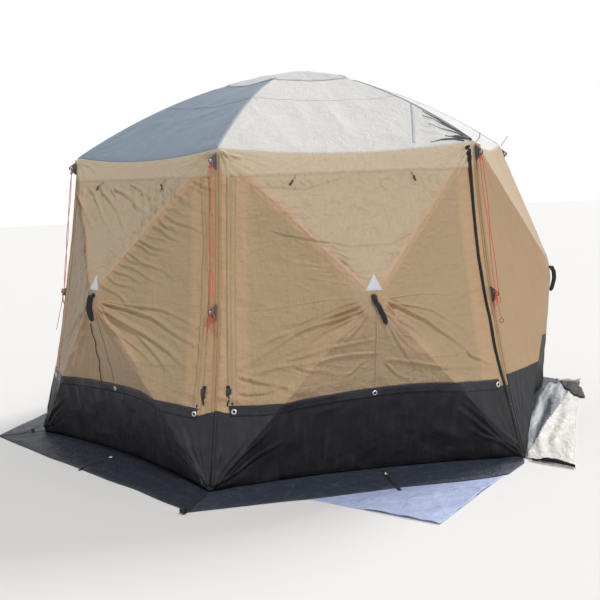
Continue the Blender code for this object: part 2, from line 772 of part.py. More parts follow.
def roof_mesh():
    """The roof: six panels that hang a little between the arched ridges, flat over the hub."""
    skins = []
    around = SIDES * EAVE_CUTS
    seam = Vector((0.0, 0.0, SEAM_GAP))
    for row in range(ROOF_ROWS + 1):
        share = row / ROOF_ROWS
        radius, height = roof_ridge(share)
        for i in range(around):
            angle = wall_angle(1 + i // EAVE_CUTS)
            part = (i % EAVE_CUTS) / EAVE_CUTS
            half = radius * sin(HALF_TURN) * (2 * part - 1)
            point = bearing(angle, radius * APOTHEM_SHARE) + bearing(angle + pi / 2, half)
            point.z = height - EAVE_SAG * arc_share(part) * (1 - share)
            down = Vector((0.0, 0.0, -CLOTH_THICK)) if row else inward_at(angle, part)
            skins.append((point + seam * (row == 0), point + down + seam * (row == 0)))
    top = len(skins)
    crown = Vector((0.0, 0.0, PEAK_HEIGHT))
    skins.append((crown, crown - Vector((0.0, 0.0, CLOTH_THICK))))
    faces = []
    for row in range(ROOF_ROWS):
        for i in range(around):
            after = (i + 1) % around
            low = row * around
            faces.append([low + i, low + after, low + around + after, low + around + i])
    last = ROOF_ROWS * around
    faces += [[last + i, last + (i + 1) % around, top] for i in range(around)]
    return thick_sheet(skins, faces)


def sheet_mesh():
    """The ground sheet, lying turned so that one corner comes out under the front flap."""
    front = -(BASE_APOTHEM + FLAP_WIDTH + SHEET_PEEK)
    corner = Matrix.Translation((SHEET_ASIDE, front, 0.0)) @ Matrix.Rotation(SHEET_TURN, 4, "Z")
    return block((0.0, 0.0, 0.0), (SHEET_WIDTH, SHEET_LENGTH, SHEET_THICK), corner)


def smooth_route(route):
    """Points along a smooth curve through the chosen ones, closer together where it turns."""
    points = [Vector(point) for point in route]
    ends = [points[0] * 2 - points[1], *points, points[-1] * 2 - points[-2]]
    fine = []
    for a, b, c, d in zip(ends, ends[1:], ends[2:], ends[3:]):
        for i in range(CURVE_CUTS):
            t = i / CURVE_CUTS
            bend = (a * 2 - b * 5 + c * 4 - d) * t**2 + (b * 3 - a - c * 3 + d) * t**3
            fine.append((b * 2 + (c - a) * t + bend) / 2)
    fine.append(points[-1])
    kept = [fine[0]]
    heading = fine[1] - fine[0]
    for before, point, after in zip(fine, fine[1:], fine[2:]):
        turned_by = heading.angle(after - point)
        if turned_by > ROPE_TURN or (point - kept[-1]).length > ROPE_STEP:
            kept.append(point)
            heading = after - before
    kept.append(fine[-1])
    return kept


def rope(name, route, made):
    """A guy rope: a round tube along its route, with filled ends."""
    curve = bpy.data.curves.new(name, "CURVE")
    curve.dimensions = "3D"
    curve.bevel_depth = ROPE_RADIUS
    curve.bevel_resolution = ROPE_CUTS
    curve.use_fill_caps = True
    points = smooth_route(route)
    spline = curve.splines.new("POLY")
    spline.points.add(len(points) - 1)
    for place, point in zip(spline.points, points):
        place.co = (*point, 1.0)
    curve.materials.append(made)
    obj = bpy.data.objects.new(name, curve)
    bpy.context.collection.objects.link(obj)


def main():
    for obj in list(bpy.data.objects):
        bpy.data.objects.remove(obj, do_unlink=True)
    made = {name: material(name) for name in COLOURS}
    cloth = [made["tan"], made["black"]]
    moulded = [made["plastic"]]
    eave_joint = eave_joint_mesh()
    foot_joint = foot_joint_mesh()
    wall_hub = wall_hub_mesh()
    wall_poles = {level: wall_pole_mesh(pole_stance(level, 1)[-1]) for level in JOINT_HEIGHTS}
    roof_pole = roof_pole_mesh()
    slope = roof_pole_line()[2]
    roof_centre = empty("roof_centre", Matrix.Translation((0.0, 0.0, ROOF_PIN_HEIGHT)))
    placed("roof_hub", roof_hub_mesh(), moulded, roof_centre)
    placed("roof_canopy", roof_mesh(), [made["silver"]])
    placed("groundsheet", sheet_mesh(), [made["lilac"]])
    for number in range(1, SIDES + 1):
        corner = Matrix.Rotation(corner_angle(number), 4, "Z")
        placed(f"eave_joint_{number}", eave_joint, moulded, frame=corner)
        placed(f"foot_joint_{number}", foot_joint, moulded, frame=corner)
        seat = corner @ Matrix.Translation((ROOF_PIN_RADIUS, 0.0, 0.0)) @ Matrix.Rotation(slope, 4, "Y")
        placed(f"roof_pole_{number}", roof_pole, [made["fibreglass"]], roof_centre, seat)
        wall = empty(f"wall_frame_{number}", wall_frame(wall_angle(number)))
        placed(f"wall_panel_{number}", wall_mesh(number), cloth)
        placed(f"wall_hub_{number}", wall_hub, moulded, wall, Matrix.Translation((0.0, HUB_UP, HUB_OUT)))
        for level, mesh in wall_poles.items():
            for side, hand in ((-1, "left"), (1, "right")):
                _, pin, lie, rise, _ = pole_stance(level, side)
                name = f"{level}_{hand}_pole_{number}"
                placed(name, mesh, [made["fibreglass"]], wall, lie_frame(pin, lie, rise))
    for number, route in ROPE_ROUTES.items():
        rope(f"guy_rope_{number}", route, made["orange"])


main()
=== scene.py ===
"""How the gazebo tent looks: its cloth, trim, ropes and finishes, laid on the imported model.

Metres, +Z up, front wall facing -Y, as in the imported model. A wall has its own axes: u to the right
along it, z up and out away from the tent's middle, all three level or plumb.
"""

from math import atan2, cos, hypot, pi, radians, sin, tan

import bmesh
import bpy
import numpy as np
from mathutils import Matrix, Vector
from mathutils.bvhtree import BVHTree


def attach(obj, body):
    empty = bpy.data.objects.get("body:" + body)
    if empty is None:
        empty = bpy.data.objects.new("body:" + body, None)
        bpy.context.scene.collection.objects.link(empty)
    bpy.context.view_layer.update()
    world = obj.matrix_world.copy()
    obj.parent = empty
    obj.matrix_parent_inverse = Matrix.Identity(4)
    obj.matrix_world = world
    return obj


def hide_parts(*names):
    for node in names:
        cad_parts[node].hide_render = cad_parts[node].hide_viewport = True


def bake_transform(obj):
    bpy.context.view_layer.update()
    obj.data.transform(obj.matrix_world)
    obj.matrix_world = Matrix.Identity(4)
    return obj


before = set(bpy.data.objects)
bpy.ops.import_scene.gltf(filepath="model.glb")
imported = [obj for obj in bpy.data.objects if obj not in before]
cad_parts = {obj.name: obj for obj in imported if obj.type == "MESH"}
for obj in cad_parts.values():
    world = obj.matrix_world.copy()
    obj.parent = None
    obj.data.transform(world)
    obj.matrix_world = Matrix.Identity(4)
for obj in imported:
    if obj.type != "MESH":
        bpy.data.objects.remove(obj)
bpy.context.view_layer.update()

# The tent's outline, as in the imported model
SIDES = 6
BASE_RADIUS = 1.750
EAVE_RADIUS = 1.431
EAVE_HEIGHT = 1.748
PEAK_HEIGHT = 2.255
ROOF_ARCH = 0.085
EAVE_SAG = 0.045
CORNER_DRAW = 0.050
BASE_DRAW = 0.090
HUB_HEIGHT = 0.965
HUB_REACH = 0.240
FLAP_WIDTH = 0.265
CROWN_RADIUS = 0.070
CLOTH_THICK = 0.003
FLAP_TOP = 0.0043
HUB_HALF = 0.017
HOLE_RADIUS = 0.0125
SEAM_GAP = 0.0003
SHEET_TURN = 0.761
SHEET_SIZE = (1.83, 2.44)
SHEET_CORNER = (0.076, -2.2905)
ROPE_RADIUS = 0.002

# The camera that took the picture: where it stood, how it was turned, and its lens on a 36 mm sensor
CAMERA_PLACE = (-1.394, -6.154, 1.609)
CAMERA_YAW = radians(-12.51)
CAMERA_PITCH = radians(-7.73)
CAMERA_ROLL = radians(2.06)
CAMERA_LENS = 56.37
CAMERA_SENSOR = 36.0
CAMERA_REACH = 100.0

# Cloth meshes
CLOTH_SKIN = 0.0012
SHEET_SKIN = 0.0006
WALL_GRID = (150, 84)
ROOF_GRID = (120, 100)
FLAP_GRID = (170, 30)
SHEET_GRID = (130, 172)
# How finely a wall, and what lies over and under it, is made: the seen ones finer than the others
WALL_SHARES = {1: 1.3, 2: 0.8, 3: 0.6, 4: 0.6, 5: 0.6, 6: 1.3}
OTHER_SHARES = {1: 1.0, 2: 1.0, 3: 0.6, 4: 0.6, 5: 0.6, 6: 1.0}
STEP = 0.010
BEND_ROWS = 5
BEND_LENGTH = 0.035
BEND_DEPTH = 0.3
BELLY = 0.010
RIM_FADE = 0.035
SECTORS = ("top", "right", "bottom", "left")
PANEL_WALLS = (1, 3, 5, 6)

WALLS = range(1, SIDES + 1)
HALF_TURN = pi / SIDES
APOTHEM_SHARE = cos(HALF_TURN)
BASE_APOTHEM = BASE_RADIUS * APOTHEM_SHARE
EAVE_APOTHEM = EAVE_RADIUS * APOTHEM_SHARE
EAVE_HALF = EAVE_RADIUS * sin(HALF_TURN)
BASE_HALF = BASE_RADIUS * sin(HALF_TURN)
LEAN = atan2((BASE_RADIUS - EAVE_RADIUS) * APOTHEM_SHARE, EAVE_HEIGHT)
HUB_OUT = HUB_REACH - CLOTH_THICK - SEAM_GAP - HUB_HALF
HUB_UP = (HUB_HEIGHT - HUB_OUT * sin(LEAN)) / cos(LEAN)
FACING = np.array([0.0, sin(LEAN), cos(LEAN)])
UPHILL = np.array([0.0, cos(LEAN), -sin(LEAN)])
HUB_POINT = np.array([0.0, 0.0, BASE_APOTHEM]) + UPHILL * HUB_UP + FACING * HUB_REACH
HUB_Z = float(HUB_POINT[1])

# Points along each guy rope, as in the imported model
ROPE_ROUTES = {
    1: [
        (-0.8026, -1.3470, 0.9061), (-0.7992, -1.3526, 0.9072), (-0.7959, -1.3572, 0.9111),
        (-0.7935, -1.3591, 0.9183), (-0.7920, -1.3583, 0.9292), (-0.7853, -1.3401, 1.0916),
        (-0.7695, -1.3161, 1.2597), (-0.7650, -1.2971, 1.4447), (-0.7501, -1.2695, 1.6550),
        (-0.7494, -1.2684, 1.6720), (-0.7504, -1.2656, 1.6801), (-0.7536, -1.2597, 1.6826),
        (-0.7570, -1.2542, 1.6795), (-0.7586, -1.2524, 1.6713), (-0.7593, -1.2536, 1.6543),
        (-0.7676, -1.2719, 1.4713), (-0.7880, -1.2981, 1.2757), (-0.7934, -1.3153, 1.0848),
        (-0.8063, -1.3346, 0.9248), (-0.8116, -1.3427, 0.8757), (-0.8182, -1.3494, 0.8367),
        (-0.8271, -1.3546, 0.8028), (-0.8343, -1.3572, 0.7734),
    ],
    2: [
        (0.7860, -1.3626, 0.9069), (0.7917, -1.3592, 0.9074), (0.7966, -1.3557, 0.9108),
        (0.7990, -1.3529, 0.9177), (0.7989, -1.3507, 0.9285), (0.7882, -1.3363, 1.0911),
        (0.7721, -1.3127, 1.2593), (0.7618, -1.2994, 1.4446), (0.7441, -1.2745, 1.6551),
        (0.7435, -1.2734, 1.6720), (0.7409, -1.2741, 1.6802), (0.7351, -1.2772, 1.6830),
        (0.7295, -1.2807, 1.6802), (0.7276, -1.2826, 1.6720), (0.7282, -1.2837, 1.6551),
        (0.7379, -1.3006, 1.4722), (0.7549, -1.3302, 1.2771), (0.7631, -1.3445, 1.0863),
        (0.7748, -1.3650, 0.9266), (0.7797, -1.3735, 0.8775), (0.7840, -1.3848, 0.8390),
        (0.7881, -1.3941, 0.8053), (0.7932, -1.4028, 0.7715),
    ],
    6: [
        (-1.5730, 0.0006, 0.9069), (-1.5730, -0.0060, 0.9074), (-1.5723, -0.0120, 0.9108),
        (-1.5711, -0.0155, 0.9177), (-1.5692, -0.0165, 0.9285), (-1.5514, -0.0145, 1.0911),
        (-1.5229, -0.0123, 1.2593), (-1.5062, -0.0100, 1.4446), (-1.4758, -0.0072, 1.6551),
        (-1.4745, -0.0072, 1.6720), (-1.4739, -0.0046, 1.6802), (-1.4737, 0.0020, 1.6830),
        (-1.4739, 0.0086, 1.6802), (-1.4745, 0.0112, 1.6720), (-1.4758, 0.0112, 1.6551),
        (-1.4953, 0.0113, 1.4722), (-1.5295, 0.0113, 1.2771), (-1.5459, 0.0114, 1.0863),
        (-1.5695, 0.0115, 0.9266), (-1.5793, 0.0115, 0.8775), (-1.5948, 0.0095, 0.8193),
        (-1.6148, 0.0075, 0.7417), (-1.6348, 0.0085, 0.6640),
    ],
}


def bearing(angle, distance=1.0, height=0.0):
    return Vector((distance * cos(angle), distance * sin(angle), height))


def corner_angle(number):
    return -pi / 2 - HALF_TURN + 2 * HALF_TURN * (number - 1)


def wall_angle(number):
    return corner_angle(number) + HALF_TURN


def wall_axes(number):
    """Turns a wall's own (u, z, out) into the tent's axes."""
    angle = wall_angle(number)
    return Matrix((bearing(angle + pi / 2), (0.0, 0.0, 1.0), bearing(angle))).transposed()


def to_tent(number, points):
    return np.asarray(points) @ np.array(wall_axes(number)).T


def arc_share(share):
    return 4 * share * (1 - share)


def smooth(share):
    share = np.clip(share, 0.0, 1.0)
    return share * share * (3 - 2 * share)


def corner_radius(height):
    return BASE_RADIUS + (EAVE_RADIUS - BASE_RADIUS) * height / EAVE_HEIGHT


def edge_radius(height):
    return corner_radius(height) - CORNER_DRAW * arc_share(height / EAVE_HEIGHT)


def tint(red, green, blue):
    """A colour seen in the picture, 0 to 255, as Blender's linear one."""
    return tuple((c / 255 / 12.92 if c <= 10 else ((c / 255 + 0.055) / 1.055) ** 2.4) for c in (red, green, blue))


# ---- Repeatable unevenness


def lattice(i, j, seed):
    mixed = np.sin(i * 127.1 + j * 311.7 + seed * 74.7) * 43758.5453
    return 2 * (mixed - np.floor(mixed)) - 1


def noise(x, y, seed=0):
    """Smooth unevenness from -1 to 1, the same on every run."""
    i, j = np.floor(x), np.floor(y)
    a, b = smooth(x - i), smooth(y - j)
    low = lattice(i, j, seed) * (1 - a) + lattice(i + 1, j, seed) * a
    high = lattice(i, j + 1, seed) * (1 - a) + lattice(i + 1, j + 1, seed) * a
    return low * (1 - b) + high * b


def creases(x, y, seed=0):
    """Sharp ridges with soft hollows, as in crumpled cloth, from 0 to 1."""
    bent_x = x + 0.35 * noise(y * 0.9, x * 0.7, seed + 5)
    bent_y = y + 0.35 * noise(x * 0.8, y * 0.9, seed + 9)
    return 1 - np.abs(noise(bent_x, bent_y, seed)) * 1.6


def fan(centre, first, last, count, reach, width, height, seed=0):
    """Folds that spread from one point, between two angles in degrees."""
    folds = []
    for i in range(count):
        share = (i + 0.5 + 0.35 * float(lattice(i, 1.0, seed))) / count
        angle = radians(first + (last - first) * share)
        long = reach * (0.72 + 0.28 * float(lattice(i, 2.0, seed)))
        high = height * (0.75 + 0.25 * float(lattice(i, 3.0, seed)))
        end = (centre[0] + long * cos(angle), centre[1] + long * sin(angle))
        folds.append(((centre, end), width, high))
    return folds


def comb(start, end, count, angle, reach, width, height, seed=0):
    """Folds side by side that leave a line at one angle in degrees."""
    folds = []
    for i in range(count):
        share = (i + 0.5 + 0.3 * float(lattice(i, 4.0, seed))) / count
        foot = (start[0] + (end[0] - start[0]) * share, start[1] + (end[1] - start[1]) * share)
        way = radians(angle + 9 * float(lattice(i, 5.0, seed)))
        long = reach * (0.7 + 0.3 * float(lattice(i, 6.0, seed)))
        far = (foot[0] + long * cos(way), foot[1] + long * sin(way))
        folds.append(((foot, far), width, height * (0.7 + 0.3 * float(lattice(i, 7.0, seed)))))
    return folds


def fold_relief(u, z, folds):
    """How far folds lift the cloth: along each path a ridge with a hollow beside it."""
    relief = np.zeros_like(u)
    for path, width, height in folds:
        lengths = [hypot(b[0] - a[0], b[1] - a[1]) for a, b in zip(path, path[1:])]
        room = 4 * width
        us, zs = [p[0] for p in path], [p[1] for p in path]
        near = (u > min(us) - room) & (u < max(us) + room) & (z > min(zs) - room) & (z < max(zs) + room)
        if not near.any():
            continue
        own_u, own_z = u[near], z[near]
        gap = np.full_like(own_u, 9.0)
        off, share = np.zeros_like(own_u), np.zeros_like(own_u)
        done = 0.0
        for (u0, z0), (u1, z1), length in zip(path, path[1:], lengths):
            du, dz = (u1 - u0) / length, (z1 - z0) / length
            along = np.clip((own_u - u0) * du + (own_z - z0) * dz, 0, length)
            away = np.hypot(own_u - u0 - along * du, own_z - z0 - along * dz)
            side = np.where((own_u - u0) * dz - (own_z - z0) * du > 0, 1.0, -1.0)
            closer = away < gap
            gap = np.where(closer, away, gap)
            off = np.where(closer, away * side, off)
            share = np.where(closer, (done + along) / sum(lengths), share)
            done += length
        off = off + 0.006 * np.sin(share * 8 + us[0] * 40 + zs[-1] * 23)
        x = off / (width * (0.55 + 0.75 * share))
        shape = np.exp(-np.abs(x) ** 1.5) - 0.6 * np.exp(-((x - 1.5) ** 2)) - 0.2 * np.exp(-((x + 1.8) ** 2))
        relief[near] += height * smooth(share / 0.08) * (1 - share) ** 0.6 * shape
    return relief


# ---- Finishes


def feed(tree, socket, value):
    """A link or a steady value at a node's input."""
    if isinstance(value, bpy.types.NodeSocket):
        tree.links.new(value, socket)
    elif socket.type == "RGBA" and len(value) == 3:
        socket.default_value = (*value, 1.0)
    else:
        socket.default_value = value


def add_node(tree, kind, inputs=(), **settings):
    """A new node with these settings, and these links or values at its inputs."""
    made = tree.nodes.new(kind)
    for name, value in settings.items():
        setattr(made, name, value)
    for name, value in dict(inputs).items():
        feed(tree, made.inputs[name], value)
    return made


class Finish:
    """A material in the making: its shader and the nodes that feed it."""

    def __init__(self, name, roughness=0.6, **steady):
        self.material = bpy.data.materials.new(name)
        self.material.use_nodes = True
        self.tree = self.material.node_tree
        self.shader = self.tree.nodes["Principled BSDF"].inputs
        self.shader["Roughness"].default_value = roughness
        for socket, value in steady.items():
            self.shader[socket.replace("_", " ")].default_value = value

    def node(self, kind, inputs=(), **settings):
        return add_node(self.tree, kind, inputs, **settings).outputs

    def math(self, operation, *values):
        return self.node("ShaderNodeMath", enumerate(values), operation=operation)[0]

    def times(self, one, two):
        return self.math("MULTIPLY", one, two)

    def fit(self, value, by, plus):
        return self.math("MULTIPLY_ADD", value, by, plus)

    def less(self, one, two):
        return self.math("SUBTRACT", one, two)

    def size(self, value):
        return self.math("ABSOLUTE", value)

    def step(self, value, low, high):
        """0 below low and 1 above high, with a soft edge between."""
        inputs = {"Value": value, "From Min": low, "From Max": high}
        return self.node("ShaderNodeMapRange", inputs, interpolation_type="SMOOTHSTEP")["Result"]

    def blend(self, share, first, second):
        return self.node("ShaderNodeMix", {"Factor": share, 6: first, 7: second}, data_type="RGBA")[2]

    def object_place(self):
        return self.node("ShaderNodeTexCoord")["Object"]

    def cloth_place(self):
        return self.node("ShaderNodeTexCoord")["UV"]

    def stretched(self, place, scale, turn=0.0):
        inputs = {"Vector": place, "Scale": scale, "Rotation": (0.0, 0.0, turn)}
        return self.node("ShaderNodeMapping", inputs)["Vector"]

    def split(self, place):
        return self.node("ShaderNodeSeparateXYZ", {0: place})

    def noise(self, place, scale, detail=3.0, roughness=0.55, distortion=0.0):
        inputs = {
            "Vector": place, "Scale": scale, "Detail": detail, "Roughness": roughness, "Distortion": distortion,
        }
        return self.node("ShaderNodeTexNoise", inputs)["Fac"]

    def bands(self, place, scale, direction="X"):
        inputs = {"Vector": place, "Scale": scale}
        return self.node("ShaderNodeTexWave", inputs, bands_direction=direction, wave_profile="SIN")["Fac"]

    def crinkles(self, place, scale, seed=0.0, sharp=2.6):
        """Thin ridges where smooth unevenness passes its middle, as in crumpled cloth."""
        shifted = self.node("ShaderNodeMapping", {"Vector": place, "Location": (seed, -0.7 * seed, 0.0)})[0]
        even = self.size(self.less(self.noise(shifted, scale, 2.0, 0.45, 0.4), 0.5))
        return self.math("POWER", self.less(1.0, even), sharp * 3)

    def cells(self, place, scale, feature="F1"):
        return self.node("ShaderNodeTexVoronoi", {"Vector": place, "Scale": scale}, feature=feature)["Distance"]

    def shade(self, colour, by, amount):
        """The colour made lighter and darker by a pattern of 0 to 1, by this share either way."""
        inputs = {"Color": colour, "Value": self.fit(by, 2 * amount, 1 - amount)}
        return self.node("ShaderNodeHueSaturation", inputs)["Color"]

    def bump(self, *layers):
        """Height patterns, each with its depth in metres, one over the other."""
        normal = {}
        for height, depth in layers:
            normal = {"Normal": self.node("ShaderNodeBump", {"Distance": depth, "Height": height, **normal})[0]}
        feed(self.tree, self.shader["Normal"], normal["Normal"])

    def weave(self, place):
        """A plain weave's height: threads over and under."""
        across, along = (self.bands(place, 0.25 / THREAD_PITCH, way) for way in "XY")
        return self.times(across, along)

    def done(self, colour, roughness=None):
        feed(self.tree, self.shader["Base Color"], colour)
        if roughness is not None:
            feed(self.tree, self.shader["Roughness"], roughness)
        return self.material


THREAD_PITCH = 0.0009
TAN_UPPER = tint(191, 169, 140)
TAN_SIDE = tint(181, 156, 122)
TAN_BORDER = tint(196, 163, 126)
# Plain walls: one tan, painted lighter on the top sector as lit from above and darker on the other sectors as
# shaded
PLAIN_TAN_PAINTED_SHADE = tint(182, 151, 115)
PLAIN_TAN_PAINTED_LIGHT = tint(188, 161, 128)
# The tan as painted in shade, for the left wall
TAN_PAINTED_SHADE = tint(84, 54, 18)
TAN_LOWER = tint(180, 153, 121)
TAN_VALANCE = tint(203, 183, 155)
TAN_SLEEVE = tint(206, 166, 132)
TAN_DUST = tint(214, 198, 170)
SKIRT_BLACK = tint(38, 37, 43)
SKIRT_DUST = tint(74, 71, 73)
SKIRT_GUSSET = tint(50, 50, 54)
SLEEVE_HALF = 0.024
WINDOW_INSET = 0.078
PANEL_TOP = 1.600
# A panel zip's distance from its wall's middle: at one height, and how much it grows down from there
ZIP_ASIDE = 0.656
ZIP_HEIGHT = 1.608
ZIP_SPLAY = 0.062
EDGE_BLUR = 0.003


def side_of(finish, u, z, start, end):
    """Distance of (u, z) from the line, positive to the left of the way from start to end."""
    du, dz = end[0] - start[0], end[1] - start[1]
    length = hypot(du, dz)
    across = finish.fit(z, du / length, -start[1] * du / length)
    return finish.fit(u, -dz / length, finish.math("ADD", across, start[0] * dz / length))


def wall_finish(name, panelled, painted_shade_share=0.0):
    """Tan polyester, greyer where a window hangs behind it and warmer along the pole sleeves, and darkened on the
    left wall by painted shade.
    """
    f = Finish(name, roughness=0.5, Specular_IOR_Level=0.45)
    place = f.cloth_place()
    aside, z, _ = f.split(place)
    u = f.size(aside)
    upper = side_of(f, u, z, (0.0, HUB_Z), (EAVE_HALF, EAVE_HEIGHT))
    lower = side_of(f, u, z, (BASE_HALF, 0.0), (0.0, HUB_Z))
    over = f.step(upper, -EDGE_BLUR, EDGE_BLUR)
    ragged = f.noise(place, 9.0, 3.0, 0.6)
    patchy = f.noise(place, 3.1, 3.0, 0.6)
    if panelled:
        edge = f.fit(z, -ZIP_SPLAY, ZIP_ASIDE + ZIP_HEIGHT * ZIP_SPLAY - WINDOW_INSET)
        window = f.step(f.less(edge, u), -0.010, 0.022)
        colour = f.blend(window, TAN_BORDER, TAN_SIDE)
        colour = f.blend(over, colour, TAN_UPPER)
        under = f.times(f.step(lower, -0.004, 0.004), f.step(z, HUB_Z + 0.01, HUB_Z - 0.01))
        colour = f.blend(under, colour, TAN_LOWER)
        wide = f.fit(ragged, 0.020, SLEEVE_HALF - 0.008)
        near_upper = f.step(f.less(wide, f.size(upper)), -0.004, 0.006)
        near_lower = f.step(f.less(f.times(wide, 1.7), f.size(lower)), -0.03, 0.02)
        near_lower = f.times(near_lower, f.step(patchy, 0.38, 0.60))
        sleeve = f.times(f.math("MAXIMUM", near_upper, near_lower), 0.55)
        inside = f.step(f.fit(z, -1.0, PANEL_TOP), 0.0, 0.006)
        colour = f.blend(f.times(sleeve, inside), colour, TAN_SLEEVE)
        band = f.step(z, PANEL_TOP, PANEL_TOP + 0.004)
        colour = f.blend(f.times(band, f.step(upper, -0.09, -0.06)), colour, TAN_VALANCE)
        seam = f.step(f.size(f.less(z, PANEL_TOP)), 0.007, 0.004)
        colour = f.blend(f.times(seam, 0.22), colour, TAN_SLEEVE)
    else:
        # Painted light: the top sector lighter, the sectors round and below the hub darker
        colour = f.blend(over, PLAIN_TAN_PAINTED_SHADE, PLAIN_TAN_PAINTED_LIGHT)
    # Painted shade: the left wall's left side blended towards a shaded tan, and the whole wall a little
    if painted_shade_share:
        away = f.times(f.step(aside, 0.0, -0.01), f.step(lower, 0.004, -0.004))
        away = f.times(away, f.step(upper, 0.02, -0.02))
        colour = f.blend(f.fit(away, painted_shade_share, 0.07), colour, TAN_PAINTED_SHADE)
    colour = f.shade(colour, f.noise(place, 2.3, 3.0), 0.05)
    colour = f.shade(colour, f.noise(place, 31.0, 4.0, 0.7), 0.045)
    dust = f.step(f.noise(place, 5.0, 5.0, 0.7), 0.56, 0.80)
    colour = f.blend(f.times(dust, 0.15), colour, TAN_DUST)
    one = f.crinkles(f.stretched(place, (0.8, 1.5, 1.0), 0.45), 9.0, 3.0)
    two = f.crinkles(f.stretched(place, (1.5, 0.8, 1.0), -0.35), 15.0, 8.0)
    crumple = f.noise(f.stretched(place, (1.0, 0.30, 1.0), 0.75), 40.0, 4.0, 0.6, 0.3)
    counter = f.noise(f.stretched(place, (0.34, 1.0, 1.0), 0.30), 31.0, 4.0, 0.6, 0.3)
    rumpled = f.noise(f.stretched(place, (0.6, 1.0, 1.0), -0.3), 21.0, 5.0, 0.65, 0.8)
    rumpled = f.times(rumpled, f.step(z, 0.80, 0.50))
    depth = 1.0 if panelled else 0.25
    threads = f.weave(place)
    f.bump(
        (one, 0.0030 * depth), (two, 0.0016 * depth), (crumple, 0.0062 * depth), (counter, 0.0045 * depth),
        (rumpled, 0.0075 * depth), (threads, 0.00012),
    )
    return f.done(colour, f.fit(ragged, 0.12, 0.40))


def skirt_finish(name):
    """Coated black cloth, dusty in streaks that run down it."""
    f = Finish(name, roughness=0.5, Specular_IOR_Level=0.22)
    place = f.cloth_place()
    u, z, _ = f.split(place)
    streaks = f.noise(f.stretched(place, (1.0, 0.10, 1.0)), 26.0, 4.0, 0.65)
    blotches = f.noise(place, 4.5, 4.0, 0.6)
    low = f.step(f.times(z, -1.0), -0.20, 0.0)
    dust = f.times(f.step(f.times(streaks, blotches), 0.20, 0.46), 0.45)
    dust = f.math("ADD", dust, f.times(low, f.times(blotches, 0.30)))
    side = side_of(f, f.size(u), z, (BASE_HALF, 0.0), (0.0, HUB_Z))
    colour = f.blend(f.step(side, -EDGE_BLUR, EDGE_BLUR), SKIRT_GUSSET, SKIRT_BLACK)
    colour = f.blend(dust, colour, SKIRT_DUST)
    colour = f.shade(colour, f.noise(place, 40.0, 3.0), 0.06)
    crumple = f.noise(place, 15.0, 5.0, 0.6, 0.8)
    f.bump((crumple, 0.004), (f.weave(place), 0.00012))
    return f.done(colour, f.fit(blotches, 0.25, 0.36))


def coated_finish(name, tone, worn, roughness=0.42, creased=0.006, spots=None, veins=0.35):
    """Thin coated cloth that has been folded: pale along its creases, glossier between them."""
    tone, worn = tint(*tone), tint(*worn)
    f = Finish(name, roughness=roughness, Specular_IOR_Level=0.25)
    place = f.cloth_place()
    net = f.cells(f.stretched(place, (1.0, 1.35, 1.0), 0.5), 7.5, "DISTANCE_TO_EDGE")
    fine = f.noise(place, 22.0, 5.0, 0.65, 0.9)
    wear = f.times(f.step(f.times(net, -1.0), -0.05, 0.0), f.step(fine, 0.35, 0.65))
    colour = f.blend(f.times(wear, veins), tone, worn)
    colour = f.shade(colour, f.noise(place, 2.6, 3.0), 0.06)
    colour = f.shade(colour, fine, 0.05)
    if spots is not None:
        speck = f.step(f.noise(place, 55.0, 2.0, 0.5), 0.66, 0.72)
        colour = f.blend(f.times(speck, 0.8), colour, tint(*spots))
    f.bump((net, creased * veins * 2), (fine, creased * 0.8), (f.weave(place), 0.0001))
    return f.done(colour, f.fit(fine, 0.22, roughness - 0.11))


def two_tone_flap_finish(name):
    """Slate coated cloth near the tent with painted highlight streaks, silver and speckled beyond a ragged
    slanting line, with painted shade along the silver's crinkles.
    """
    f = Finish(name, roughness=0.45, Specular_IOR_Level=0.5)
    place = f.cloth_place()
    u, out, _ = f.split(place)
    ragged = f.noise(place, 14.0, 4.0, 0.6)
    line = f.fit(u, 0.44 * FLAP_WIDTH, BASE_APOTHEM + (0.14 + 0.44 * 0.65) * FLAP_WIDTH - 0.015)
    line = f.math("ADD", line, f.times(ragged, 0.03))
    beyond = f.step(f.less(out, line), -EDGE_BLUR, EDGE_BLUR)
    fine = f.noise(place, 24.0, 5.0, 0.65, 0.9)
    # Painted highlights: pale streaks along the slate, as a sheen
    painted_highlights = f.noise(f.stretched(place, (0.10, 1.5, 1.0), 0.10), 15.0, 2.0, 0.5)
    slate = f.blend(f.step(painted_highlights, 0.42, 0.70), tint(84, 93, 104), tint(178, 185, 192))
    speck = f.step(f.noise(place, 62.0, 2.0, 0.5), 0.62, 0.70)
    crinkle_lines = f.crinkles(f.stretched(place, (0.8, 1.6, 1.0), 0.6), 7.0, 4.0, 5.0)
    silver = f.blend(f.times(speck, 0.75), tint(226, 224, 220), tint(136, 132, 126))
    # Painted shade: the silver greyed along its crinkles
    silver = f.blend(f.times(f.step(crinkle_lines, 0.86, 0.99), 0.5), silver, tint(150, 150, 152))
    colour = f.blend(beyond, slate, silver)
    f.bump((crinkle_lines, 0.0035), (fine, 0.0014), (f.weave(place), 0.0001))
    return f.done(colour, f.fit(fine, 0.25, 0.28))


def webbing_finish(name, tone, edge):
    """Woven tape: fine diagonal ribs, and a paler worn rim to each rib."""
    tone, edge = tint(*tone), tint(*edge)
    f = Finish(name, roughness=0.75)
    place = f.object_place()
    ribs = f.bands(f.stretched(place, (1.0, 1.0, 1.0), 0.9), 110.0, "DIAGONAL")
    cross = f.bands(place, 150.0, "Z")
    worn = f.noise(place, 60.0, 3.0)
    colour = f.blend(f.times(f.step(ribs, 0.6, 1.0), 0.45), tone, edge)
    colour = f.shade(colour, worn, 0.12)
    f.bump((ribs, 0.0005), (cross, 0.0003))
    return f.done(colour)


